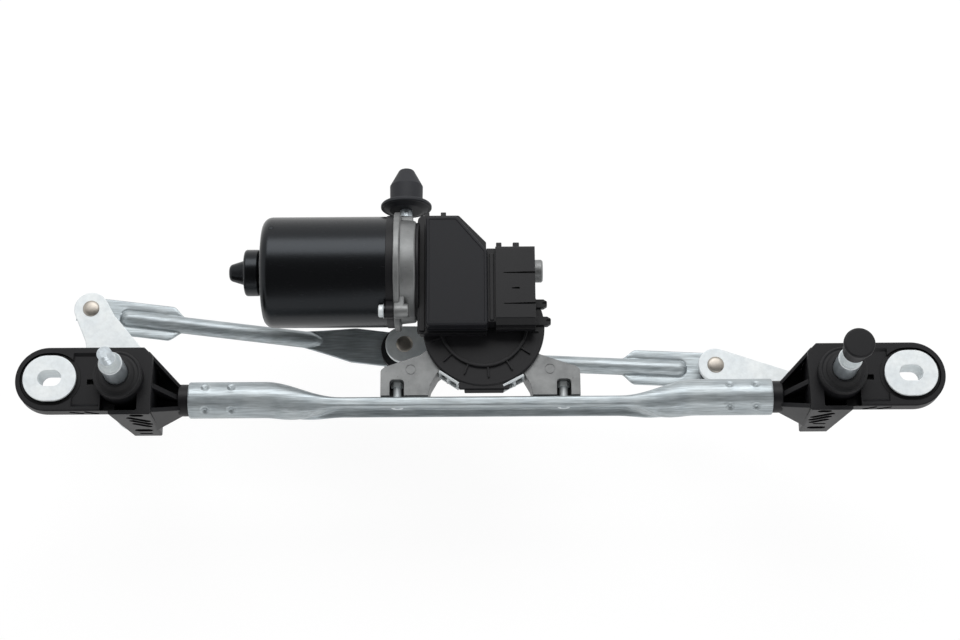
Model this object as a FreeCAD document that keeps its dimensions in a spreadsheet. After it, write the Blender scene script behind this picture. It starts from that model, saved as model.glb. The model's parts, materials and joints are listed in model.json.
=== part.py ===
import FreeCAD, Part
import Sketcher
import math
import os
import re

# Wiper linkage: a frame tube between two spindle housings, a geared motor,
# two link rods and two crank-driven spindles.
# +X to the right, +Y from the frame tube towards the motor, +Z along the spindles.
# The origin lies midway between the two mounting slots, on their washers.

SIZES = {
    # Mounting ears
    "mount_span": 580, "slot_length": 16, "slot_width": 11,
    "washer_length": 36, "washer_width": 32, "washer_thickness": 2,
    "sleeve_wall": 2, "backplate_thickness": 2,
    "isolator_length": 41, "isolator_width": 37, "isolator_lip": 3,
    "isolator_recess": 1.7, "ear_radius": 22.4, "ear_shift": 1.3, "ear_thickness": 10,
    "ear_drop": 2.5, "ear_overhang": 2.5, "panel_depth": 1.2, "panel_half_width": 15,
    # Spindle housings
    "spindle_span": 486.5, "column_radius": 16.5, "column_top": 4.5, "column_bottom": -70,
    "block_out": 6.75, "block_in": 21.75, "block_foot_out": 1.75, "block_foot_in": 18.25,
    "block_low": -25, "block_high": 22.3, "block_foot_low": -20, "block_foot_high": 15,
    "block_foot_level": -66, "block_corner": 6, "collar_reach": 43.25, "collar_length": 7,
    "collar_radius": 11, "pit_in": 12.65, "pit_out": 2.75, "pit_low": -19.5, "pit_high": 17.5,
    "pit_depth": 25, "pit_shelf": 15, "pit_shelf_depth": 7,
    "stub_length": 28, "rib_thickness": 2.6, "bush_radius": 10.5, "bush_length": 14,
    "side_slot_depth": 4.5,
    # Spindles
    "spindle_radius": 8, "running_gap": 0.04, "shaft_length_bare": 27,
    "cone_length": 10, "cone_tip_radius": 5.3, "thread_radius": 5, "thread_length": 10.5,
    "thread_point": 1.9, "seal_height": 6, "seal_shoulder": 3.4, "seal_edge": 2.4,
    "seal_radius": 16.3, "seal_lip_gap": 0.35, "seal_lip": 1.6,
    "clip_radius": 11, "clip_thickness": 1.2, "washer_gap": 0.3,
    "crank_plate": 4, "spindle_hub_left": 19, "spindle_hub_right": 15.5, "pin_end_radius": 12.3,
    "cap_radius": 10.2, "cap_head": 3.3, "cap_sleeve_radius": 8.3, "cap_length": 18,
    "cap_rise": 11.1, "cap_gap": 0.35,
    # Frame tube
    "tube_radius": 12.5, "tube_wall": 1.5, "tube_y": -6, "tube_z": -35,
    "tube_round_from": 148, "tube_flat_to": 95, "flat_half_width": 13.5, "flat_half_height": 5,
    "flat_rise": -0.7, "tube_bulge": 4, "groove_depth": 3.2, "dimple_radius": 3, "dimple_depth": 0.8,
    # Motor and gearbox
    "output_x": 2.5, "output_y": 41, "motor_y": 84.8, "motor_z": -28,
    "can_radius": 38.8, "can_wall": 2, "can_left": -151, "can_right": -64.4, "can_corner": 7,
    "bearing_cup_radius": 16.5, "bearing_cup_length": 11, "end_cap_radius": 9.8,
    "end_cap_length": 11, "ring_thickness": 5.2, "ring_radius": 39.4,
    "flange_radius": 41.8, "flange_thickness": 4.7, "neck_radius": 36, "neck_thickness": 10.4,
    "lug_radius": 6.5, "lug_offset": 43.5, "lug_angle": -58, "screw_radius": 2.5,
    "screw_length": 16, "screw_head_radius": 4.2, "screw_head": 3.4, "screw_gap": 0.2,
    "bowl_radius": 40.5, "bowl_wall": 2.5, "bowl_back": -50, "bowl_front": -24,
    "bowl_floor": 4, "tunnel_radius": 11.4, "worm_bore_radius": 9.4, "tunnel_right": 38,
    "tunnel_cap_length": 6, "tunnel_end_wall": 2, "tunnel_cap_radius": 8,
    "shaft_boss_radius": 12, "shaft_boss_length": 9,
    "foot_outer": 68.5, "foot_inner": 36, "foot_height": 17.4, "foot_shoulder_x": 38,
    "foot_shoulder_y": 23, "foot_back": -46, "foot_window_x": 57.3, "foot_window_width": 9.6,
    "foot_window_height": 11.9, "foot_window_depth": 16,
    "foot_screw_radius": 3, "foot_screw_head_radius": 5.5, "foot_screw_head": 5,
    "plug_x": -51.7, "plug_arm_top": 127, "plug_arm_width": 9, "plug_base": 131,
    "plug_flange_radius": 18, "plug_flange": 4.5, "plug_radius": 12, "plug_body": 14,
    "plug_cone": 12.4, "plug_tip_radius": 5.5, "stud_radius": 3, "stud_collar_radius": 4.4,
    # Cover and electronics
    "cover_radius": 42, "cover_thickness": 4, "cover_ring_radius": 28.5, "cover_ring_height": 1.2,
    "cover_rib_count": 12, "box_left": -36.6, "box_right": 4.7, "box_low": 34.4,
    "box_high": 115.7, "box_chamfer_x": -15.4, "box_chamfer_y": 91.1,
    "box_depth": 14, "box_wall": 2, "tray_thickness": 2,
    "tray_left": -43.2, "tray_high": 121.8, "tray_chamfer_x": -14.4, "tray_chamfer_y": 101.5,
    "tray_tab_width": 3.7, "tray_tab_height": 2.4, "clip_half_width": 5, "clip_sheet": 1.4,
    "clip_reach": 12, "clip_hook": 1,
    "board_thickness": 1.6, "connector_left": 10.8, "connector_right": 38,
    "connector_low": 36, "connector_high": 92.9, "connector_front": -0.5, "connector_back": -16.5,
    "connector_wall": 2.5, "connector_tab": 5, "socket_depth": 20,
    "terminal_count": 6, "terminal_radius": 0.8, "terminal_length": 20,
    # Worm drive
    "wheel_pitch_radius": 36, "wheel_teeth": 60, "wheel_addendum": 1.2, "wheel_dedendum": 1.45,
    "wheel_width": 7.5, "wheel_tooth_tip": 0.7, "wheel_tooth_root": 1.9,
    "worm_turns": 6, "worm_thread_tip": 0.8, "worm_thread_root": 2.1, "armature_shaft_radius": 4,
    "core_radius": 28.8, "core_inset": 19, "commutator_space": 27.6, "commutator_radius": 11,
    "magnet_gap": 1.2, "magnet_angle": 130,
    # Output crank
    "output_radius": 6, "output_bush_radius": 9, "output_crank_top": -62, "output_crank_plate": 4.5,
    "output_hub_radius": 15, "output_pin_end_radius": 13.5, "crank_nut_height": 4.8,
    "rivet_radius": 6, "rivet_height": 1.8, "pin_stem_radius": 5,
    # Linkage
    "crank_throw": 56.3, "park_angle": 178, "rocker_reach_left": 83.3, "rocker_park_left": 116.3,
    "rocker_reach_right": 80.9, "rocker_park_right": 158.8,
    "ball_radius": 8, "ball_gap": 0.12, "stack_gap": 0.3, "socket_half_height": 6.7,
    "motor_socket_radius": 17, "spindle_ball_drop": 10, "spindle_socket_radius": 10.5,
    "spindle_socket_flange": 13, "spindle_socket_floor": 10.5, "spindle_socket_rim": 5.5,
    "rod_radius": 6, "rod_plate": 2.5, "plate_half_width": 13, "plate_length": 56,
    "plate_taper": 10, "motor_plate_length": 38, "motor_plate_taper": 36, "emboss_start": 24.5,
}

doc = FreeCAD.newDocument("WiperLinkage")
sheet = doc.addObject("Spreadsheet::Sheet", "Sizes")
for row, (alias, number) in enumerate(SIZES.items(), start=1):
    sheet.set("A%d" % row, alias)
    sheet.set("B%d" % row, str(number))
    sheet.setAlias("B%d" % row, alias)
reading = doc.addObject("App::FeaturePython", "Reading")
reading.addProperty("App::PropertyFloat", "Result")
doc.recompute()

pieces = []
X_AXIS = FreeCAD.Vector(1, 0, 0)
Y_AXIS = FreeCAD.Vector(0, 1, 0)
Z_AXIS = FreeCAD.Vector(0, 0, 1)


def bound(text):
    """Write the sheet's name before each size in an expression."""
    def named(match):
        word = match.group()
        return "Sizes." + word if word in SIZES else word
    return re.sub(r"[a-z][a-z_]*", named, str(text))


def value(text):
    """The number that an expression gives with the sheet's sizes."""
    reading.setExpression("Result", bound(text))
    reading.recompute()
    return reading.Result


def keep(piece, label):
    """List a finished piece under the name of its file."""
    piece.Label = label
    pieces.append(piece)
    return piece


def place(item, x="0", y="0", z="0", axis=Z_AXIS, angle=0):
    item.Placement = FreeCAD.Placement(FreeCAD.Vector(), FreeCAD.Rotation(axis, angle))
    item.setExpression("Placement.Base.x", bound(x))
    item.setExpression("Placement.Base.y", bound(y))
    item.setExpression("Placement.Base.z", bound(z))
    return item


# Axes for the primitives, which stand along +Z until they are turned.
ALONG_X = {"axis": Y_AXIS, "angle": 90}
ALONG_Y = {"axis": X_AXIS, "angle": -90}


def cylinder(radius, length, x="0", y="0", z="0", turn=None):
    item = doc.addObject("Part::Cylinder", "Cylinder")
    item.setExpression("Radius", bound(radius))
    item.setExpression("Height", bound(length))
    return place(item, x, y, z, **(turn or {}))


def cone(radius, tip_radius, length, x="0", y="0", z="0", turn=None):
    item = doc.addObject("Part::Cone", "Cone")
    item.setExpression("Radius1", bound(radius))
    item.setExpression("Radius2", bound(tip_radius))
    item.setExpression("Height", bound(length))
    return place(item, x, y, z, **(turn or {}))


def box(low, high):
    item = doc.addObject("Part::Box", "Box")
    for name, start, end in zip(("Length", "Width", "Height"), low, high):
        item.setExpression(name, bound("(%s) - (%s)" % (end, start)))
    return place(item, *low)


def sphere(radius, x="0", y="0", z="0"):
    item = doc.addObject("Part::Sphere", "Sphere")
    item.setExpression("Radius", bound(radius))
    return place(item, x, y, z)


def fuse(items):
    joined = doc.addObject("Part::MultiFuse", "Joined")
    joined.Shapes = items
    return joined


def cut(base, tools):
    result = doc.addObject("Part::Cut", "Cut")
    result.Base = base
    result.Tool = tools[0] if len(tools) == 1 else fuse(tools)
    return result


def common(first, second):
    result = doc.addObject("Part::Common", "Common")
    result.Base = first
    result.Tool = second
    return result


def group(items):
    bundle = doc.addObject("Part::Compound", "Group")
    bundle.Links = items
    return bundle


def mirrored(source):
    copy = doc.addObject("Part::Mirroring", "Mirrored")
    copy.Source = source
    copy.Normal = X_AXIS
    return copy


# Sketches: every point is tied to the sheet by its distance from the origin.
def fix_point(sketch, curve, end, x, y):
    for kind, text in (("DistanceX", x), ("DistanceY", y)):
        index = sketch.addConstraint(
            Sketcher.Constraint(kind, -1, 1, curve, end, value(text)))
        sketch.setExpression("Constraints[%d]" % index, bound(text))


def fix_radius(sketch, curve, radius):
    index = sketch.addConstraint(Sketcher.Constraint("Radius", curve, value(radius)))
    sketch.setExpression("Constraints[%d]" % index, bound(radius))


def polygon(*points):
    def draw(sketch):
        corners = [FreeCAD.Vector(value(x), value(y), 0) for x, y in points]
        first = sketch.GeometryCount
        count = len(points)
        for index in range(count):
            sketch.addGeometry(Part.LineSegment(corners[index], corners[(index + 1) % count]))
        for index, (x, y) in enumerate(points):
            after = first + (index + 1) % count
            sketch.addConstraint(Sketcher.Constraint("Coincident", first + index, 2, after, 1))
            fix_point(sketch, first + index, 1, x, y)
    return draw


def rectangle(left, low, right, high):
    return polygon((left, low), (right, low), (right, high), (left, high))


def circle(x, y, radius):
    def draw(sketch):
        centre = FreeCAD.Vector(value(x), value(y), 0)
        curve = sketch.addGeometry(Part.Circle(centre, Z_AXIS, value(radius)))
        fix_point(sketch, curve, 3, x, y)
        fix_radius(sketch, curve, radius)
    return draw


def strap(x_from, y_from, r_from, x_to, y_to, r_to):
    """Two arcs joined by the two straight lines that touch both."""
    def draw(sketch):
        start = FreeCAD.Vector(value(x_from), value(y_from), 0)
        end = FreeCAD.Vector(value(x_to), value(y_to), 0)
        near, far = value(r_from), value(r_to)
        span = end - start
        heading = math.atan2(span.y, span.x)
        lean = math.acos((near - far) / span.Length)
        angles = (heading + lean, heading - lean)
        rays = [FreeCAD.Vector(math.cos(a), math.sin(a), 0) for a in angles]
        left_arc = sketch.addGeometry(Part.ArcOfCircle(
            Part.Circle(start, Z_AXIS, near), angles[0], angles[1] + 2 * math.pi))
        right_arc = sketch.addGeometry(Part.ArcOfCircle(
            Part.Circle(end, Z_AXIS, far), angles[1], angles[0]))
        upper = sketch.addGeometry(Part.LineSegment(start + rays[0] * near, end + rays[0] * far))
        lower = sketch.addGeometry(Part.LineSegment(start + rays[1] * near, end + rays[1] * far))
        for line, line_end, arc, arc_end in (
                (upper, 1, left_arc, 1), (lower, 1, left_arc, 2),
                (upper, 2, right_arc, 2), (lower, 2, right_arc, 1)):
            sketch.addConstraint(Sketcher.Constraint("Tangent", line, line_end, arc, arc_end))
        fix_point(sketch, left_arc, 3, x_from, y_from)
        fix_point(sketch, right_arc, 3, x_to, y_to)
        fix_radius(sketch, left_arc, r_from)
        fix_radius(sketch, right_arc, r_to)
    return draw


def racetrack(x, length, width):
    """A slot outline along X, centred at x on the sketch's axis."""
    half = "((%s) - (%s)) / 2" % (length, width)
    radius = "(%s) / 2" % width
    return strap("%s - %s" % (x, half), "0", radius, "%s + %s" % (x, half), "0", radius)


# PartDesign features
def new_body():
    return doc.addObject("PartDesign::Body", "Body")


def origin_part(body, role):
    return next(item for item in body.Origin.OriginFeatures if item.Role == role)


def sketch_on(body, plane, offset, *loops):
    sketch = body.newObject("Sketcher::SketchObject", "Profile")
    sketch.AttachmentSupport = [(origin_part(body, plane + "_Plane"), "")]
    sketch.MapMode = "FlatFace"
    sketch.setExpression("AttachmentOffset.Base.z", bound(offset))
    for draw in loops:
        draw(sketch)
    return sketch


def pad(body, plane, offset, length, *loops):
    feature = body.newObject("PartDesign::Pad", "Pad")
    feature.Profile = sketch_on(body, plane, offset, *loops)
    feature.setExpression("Length", bound(length))
    body.Tip = feature
    return feature


def pocket(body, plane, offset, length, *loops, reverse=False):
    """Cut from the sketch against its plane's normal, or along it in reverse."""
    feature = body.newObject("PartDesign::Pocket", "Pocket")
    feature.Profile = sketch_on(body, plane, offset, *loops)
    feature.setExpression("Length", bound(length))
    feature.Reversed = reverse
    body.Tip = feature
    return feature


def revolve(body, *loops, about="H_Axis"):
    feature = body.newObject("PartDesign::Revolution", "Revolution")
    sketch = sketch_on(body, "XZ", "0", *loops)
    feature.Profile = sketch
    feature.ReferenceAxis = (sketch, [about])
    feature.Angle = 360
    body.Tip = feature
    return feature


def loft(body, plane, sections):
    profiles = [sketch_on(body, plane, offset, outline) for offset, outline in sections]
    feature = body.newObject("PartDesign::AdditiveLoft", "Loft")
    feature.Profile = profiles[0]
    feature.Sections = [(profile, [""]) for profile in profiles[1:]]
    feature.Ruled = True
    body.Tip = feature
    return feature


def polar(body, feature, count):
    pattern = body.newObject("PartDesign::PolarPattern", "Polar")
    pattern.Originals = [feature]
    pattern.Axis = (origin_part(body, "Z_Axis"), [""])
    pattern.Angle = 360
    pattern.setExpression("Occurrences", bound(count))
    body.Tip = pattern
    return pattern


def round_edges(body, radius, chosen):
    doc.recompute()
    base = body.Tip
    names = ["Edge%d" % (index + 1) for index, edge in enumerate(base.Shape.Edges) if chosen(edge)]
    feature = body.newObject("PartDesign::Fillet", "Fillet")
    feature.Base = (base, names)
    feature.setExpression("Radius", bound(radius))
    body.Tip = feature
    return feature


def turned(profile, about="V_Axis"):
    """A body turned about an axis from a profile of (along X, along Z) points."""
    body = new_body()
    revolve(body, polygon(*profile), about=about)
    return body


# The linkage at the park position
def pin_around(x, y, reach, angle):
    """A pin's centre, at a reach and a direction from the shaft that carries it."""
    turn = math.radians(value(angle))
    arm = FreeCAD.Vector(math.cos(turn), math.sin(turn), 0) * value(reach)
    return FreeCAD.Vector(value(x), value(y), 0) + arm


def park_pins():
    crank_pin = pin_around("output_x", "output_y", "crank_throw", "park_angle")
    ends = {}
    for name, sign in (("left", -1), ("right", 1)):
        ends[name] = pin_around("%d * spindle_span / 2" % sign, "0",
                                "rocker_reach_" + name, "rocker_park_" + name)
    return crank_pin, ends


CRANK_PIN, ROD_ENDS = park_pins()
SIDES = (("left", -1), ("right", 1))

# Levels along Z that several pieces share
EAR_FRONT = "-ear_drop"
EAR_BACK = "-(ear_drop + ear_thickness)"
ISOLATOR_BACK = "-(ear_drop + ear_thickness + ear_overhang)"
SPINDLE_X = "spindle_span / 2"
MOUNT_X = "mount_span / 2"
COLLAR_INNER = "(spindle_span / 2 - collar_reach)"
BLOCK_INNER = "(spindle_span / 2 - block_in)"
BLOCK_OUTER = "(spindle_span / 2 + block_out)"
CORE_LEFT = "(can_left + core_inset)"
CORE_RIGHT = "(can_right - commutator_space)"
SEAL_TOP = "column_top + seal_height"
CONE_START = "column_top + shaft_length_bare"
THREAD_START = CONE_START + " + cone_length"
SPINDLE_TIP = THREAD_START + " + thread_length + thread_point"
PLATE_TOP = "column_bottom - 2"
PLATE_BACK = "column_bottom - 2 - crank_plate"
SPINDLE_BALL = "column_bottom - 2 - crank_plate - spindle_ball_drop"
TUBE_SEAT = "tube_y + flat_rise"
CRANK_BACK = "output_crank_top - output_crank_plate"
NUT_BACK = CRANK_BACK + " - crank_nut_height"
FIRST_BALL = NUT_BACK + " - 2 * stack_gap - socket_half_height - 0.5"
SECOND_BALL = FIRST_BALL + " - 2 * socket_half_height - 2 * stack_gap - 1"


def mount_parts(name, sign):
    centre = "%d * %s" % (sign, MOUNT_X)
    hole = racetrack(centre, "slot_length", "slot_width")
    wall = "2 * sleeve_wall"
    tube_outline = racetrack(centre, "slot_length + " + wall, "slot_width + " + wall)

    sleeve = new_body()
    pad(sleeve, "XY", ISOLATOR_BACK, "ear_drop + ear_thickness + ear_overhang - washer_thickness",
        tube_outline, hole)
    pad(sleeve, "XY", "-washer_thickness", "washer_thickness",
        racetrack(centre, "washer_length", "washer_width"), hole)
    keep(sleeve, name + "_mount_sleeve")

    isolator = new_body()
    lip = racetrack(centre, "isolator_length - 2 * isolator_lip", "isolator_width - 2 * isolator_lip")
    pad(isolator, "XY", EAR_BACK, "ear_thickness - isolator_recess",
        racetrack(centre, "isolator_length", "isolator_width"), tube_outline)
    pad(isolator, "XY", ISOLATOR_BACK, "ear_overhang", lip, tube_outline)
    pad(isolator, "XY", EAR_FRONT + " - isolator_recess",
        "ear_drop + isolator_recess - washer_thickness", lip, tube_outline)
    keep(isolator, name + "_rubber_isolator")

    backplate = new_body()
    pad(backplate, "XY", ISOLATOR_BACK + " - backplate_thickness", "backplate_thickness",
        racetrack(centre, "washer_length - 2", "washer_width - 2"), hole)
    keep(backplate, name + "_mount_backplate")


def right_housing():
    """Moulded housing: mounting ear, spindle column, side block, ribbed neck and stub."""
    body = new_body()
    pad(body, "XY", EAR_BACK, "ear_thickness",
        strap(SPINDLE_X + " + column_radius / 2", "0", "ear_radius",
              MOUNT_X + " + ear_shift", "0", "ear_radius"))
    foot_inner = SPINDLE_X + " - block_foot_in"
    foot_outer = SPINDLE_X + " + block_foot_out"
    loft(body, "XY", [
        (EAR_FRONT, polygon(
            (BLOCK_INNER, "block_low"), (BLOCK_OUTER, "block_low"), (BLOCK_OUTER, "block_high"),
            (BLOCK_INNER + " + block_corner", "block_high"),
            (BLOCK_INNER, "block_high - block_corner"))),
        ("block_foot_level", polygon(
            (foot_inner, "block_foot_low"), (foot_outer, "block_foot_low"),
            (foot_outer, "block_foot_high"), (foot_inner + " + block_corner / 2", "block_foot_high"),
            (foot_inner, "block_foot_high - block_corner / 2")))])
    # A pit surrounds the column, deep in the block and shallow in the ear.
    pit_outer = SPINDLE_X + " + pit_out"
    pocket(body, "XY", EAR_FRONT, "pit_depth", rectangle(
        SPINDLE_X + " - pit_in", "pit_low", pit_outer, "pit_high"))
    pocket(body, "XY", EAR_FRONT, "pit_shelf_depth", rectangle(
        pit_outer, "pit_low", SPINDLE_X + " + pit_shelf", "pit_high"))
    pad(body, "XY", "column_bottom", "column_top - column_bottom",
        circle(SPINDLE_X, "0", "column_radius"))
    # Three ribs and a web converge from the block on the collar.
    collar_outer = COLLAR_INNER + " + collar_length - 2"
    block_face = BLOCK_INNER + " + 3"
    half = "(collar_radius - 4)"
    rib_ends = (("block_high - 5", "collar_radius - 4"), ("-2", "-1"),
                ("block_low + 4", "4 - collar_radius"))
    for block_y, collar_y in rib_ends:
        loft(body, "YZ", [
            (collar_outer, rectangle(
                "tube_y + %s - rib_thickness / 2" % collar_y, "tube_z - " + half,
                "tube_y + %s + rib_thickness / 2" % collar_y, "tube_z + " + half)),
            (block_face, rectangle(
                "%s - rib_thickness / 2" % block_y, "block_foot_level + 8",
                "%s + rib_thickness / 2" % block_y, "-6"))])
    loft(body, "YZ", [
        (collar_outer, rectangle(
            "tube_y - " + half, "tube_z - 2.5", "tube_y + " + half, "tube_z + 2.5")),
        (block_face, rectangle(
            "block_low + 4", "tube_z - 7", "block_high - 5", "tube_z - 2"))])
    pad(body, "YZ", COLLAR_INNER, "collar_length", circle("tube_y", "tube_z", "collar_radius"))
    pad(body, "YZ", COLLAR_INNER + " - stub_length", "stub_length",
        circle("tube_y", "tube_z", "tube_radius - tube_wall"))
    # Bore with a seat for a bush at each end, and the pocket for the isolator.
    pocket(body, "XY", "column_top", "column_top - column_bottom",
           circle(SPINDLE_X, "0", "spindle_radius + 1"))
    pocket(body, "XY", "column_top", "bush_length", circle(SPINDLE_X, "0", "bush_radius"))
    pocket(body, "XY", "column_bottom", "bush_length", circle(SPINDLE_X, "0", "bush_radius"),
           reverse=True)
    pocket(body, "XY", EAR_FRONT, "ear_thickness",
           racetrack(MOUNT_X, "isolator_length", "isolator_width"))
    pocket(body, "XY", EAR_FRONT, "panel_depth", rectangle(
        SPINDLE_X + " + pit_shelf + 1.5", "-panel_half_width",
        MOUNT_X + " - isolator_length / 2 - 3", "panel_half_width"))
    # Two round-ended holes and slanted slots lighten the lower side.
    shallow = [strap(BLOCK_INNER + " + 10", "-9", "2.4", BLOCK_INNER + " + 17", "-9", "2.4")]
    deep = [strap(BLOCK_INNER + " + 9", "-59", "2.2", BLOCK_INNER + " + 16", "-59", "2.2")]
    for slots, levels in ((shallow, (-17, -27)), (deep, (-37, -47))):
        for level in levels:
            slots.append(strap(BLOCK_INNER + " + 8", str(level - 3), "1.3",
                               BLOCK_INNER + " + 22", str(level + 3), "1.3"))
    pocket(body, "XZ", "1 - block_low", "side_slot_depth + 1", *shallow)
    pocket(body, "XZ", "1 - block_low", "2 * side_slot_depth + 1", *deep)
    return body


def bearing_parts():
    right = right_housing()
    keep(right, "right_bearing_housing")
    keep(mirrored(right), "left_bearing_housing")
    for name, sign in SIDES:
        axis = "%d * %s" % (sign, SPINDLE_X)
        bushes = []
        for level in ("column_top - bush_length", "column_bottom"):
            bushes.append(cut(cylinder("bush_radius", "bush_length", axis, "0", level),
                              [cylinder("spindle_radius + running_gap", "bush_length",
                                        axis, "0", level)]))
        keep(group(bushes), name + "_spindle_bushes")
        lip = "spindle_radius + seal_lip_gap"
        inner = "clip_radius + 0.6"
        seal = turned(((lip, SEAL_TOP), (lip + " + seal_lip", SEAL_TOP),
                       ("seal_radius - 1", "column_top + seal_shoulder"),
                       ("seal_radius", "column_top + seal_edge"), ("seal_radius", "column_top"),
                       (inner, "column_top"), (inner, "column_top + 2.2"),
                       (lip, "column_top + 2.2")))
        place(seal, axis)
        keep(seal, name + "_spindle_seal")


def tube_section(station, inset):
    """A closed outline across the tube, round at its ends and grooved in the middle."""
    round_from = value("tube_round_from")
    flat_to = value("tube_flat_to")
    share = min(1, max(0, (round_from - abs(station)) / (round_from - flat_to)))
    blend = share * share * (3 - 2 * share)
    round_radius = value("tube_radius") - inset
    half_width = value("flat_half_width") - inset
    half_height = value("flat_half_height") - inset
    groove = value("groove_depth")
    flat_centre = value("flat_rise - flat_half_height")
    centre_y, centre_z = value("tube_y"), value("tube_z")
    # The metal pushed out of the flat swells the lower side of the transition.
    bulge = value("tube_bulge") * (4 * share * (1 - share)) ** 2
    points = []
    for step in range(24):
        angle = 2 * math.pi * step / 24
        across, up = math.sin(angle), math.cos(angle)
        flat_z = half_width * math.copysign(abs(across) ** 0.8, across)
        flat_y = half_height * math.copysign(abs(up) ** 0.45, up)
        if up < 0:
            # The groove has a flat floor and steep sides.
            edge = (0.72 - abs(flat_z) / half_width) / 0.15
            flat_y += groove * min(1, max(0, edge))
        y = (1 - blend) * round_radius * up + blend * (flat_centre + flat_y)
        y += bulge * min(0, up)
        z = (1 - blend) * round_radius * across + blend * flat_z
        points.append(FreeCAD.Vector(station, centre_y + y, centre_z + z))
    return Part.makePolygon(points + [points[0]])


def tube_skin(inset):
    """One run of the tube's outline: round end, transition, flat middle and back."""
    end = value(COLLAR_INNER)
    stations = [value("tube_round_from")]
    step = (value("tube_round_from") - value("tube_flat_to")) / 4
    for index in range(1, 5):
        stations.append(value("tube_round_from") - index * step)
    radius = value("tube_radius") - inset
    length = end - value("tube_round_from")
    solids = []
    for sign in (-1, 1):
        start = FreeCAD.Vector(-end if sign < 0 else end - length, value("tube_y"), value("tube_z"))
        solids.append(Part.makeCylinder(radius, length, start, X_AXIS))
        rings = [tube_section(sign * station, inset) for station in stations]
        solids.append(Part.makeLoft(rings, True, True))
    middle = [tube_section(sign * value("tube_flat_to"), inset) for sign in (-1, 1)]
    solids.append(Part.makeLoft(middle, True, True))
    return solids


def frame_tube():
    """Tube pressed flat in the middle, with a groove below and crimp dimples at its ends."""
    outer = tube_skin(0)
    inner = tube_skin(value("tube_wall"))
    parts = [skin.cut(core) for skin, core in zip(outer, inner)]
    shape = parts[0].multiFuse(parts[1:])
    dimples = []
    sink = value("tube_radius + dimple_radius - dimple_depth")
    for sign in (-1, 1):
        for back in (8, 22):
            for turn in (38, 142):
                angle = math.radians(turn)
                centre = FreeCAD.Vector(
                    sign * (value(COLLAR_INNER) - back),
                    value("tube_y") + sink * math.cos(angle),
                    value("tube_z") + sink * math.sin(angle))
                dimples.append(Part.makeSphere(value("dimple_radius"), centre))
    for sign in (-1, 1):
        start = FreeCAD.Vector(
            sign * value("foot_window_x"), value("tube_y - 3 * tube_radius"), value("tube_z"))
        dimples.append(Part.makeCylinder(
            value("foot_screw_radius + 0.2"), value("6 * tube_radius"), start, Y_AXIS))
    tube = doc.addObject("Part::Feature", "Tube")
    tube.Shape = shape.cut(dimples)
    tube.Placement = FreeCAD.Placement()
    keep(tube, "frame_tube")


def lug_place(sign):
    """Where a screw lug stands from the motor axis, as Y and Z."""
    return ("%d * lug_offset * sin(lug_angle)" % sign, "%d * lug_offset * cos(lug_angle)" % sign)


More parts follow.
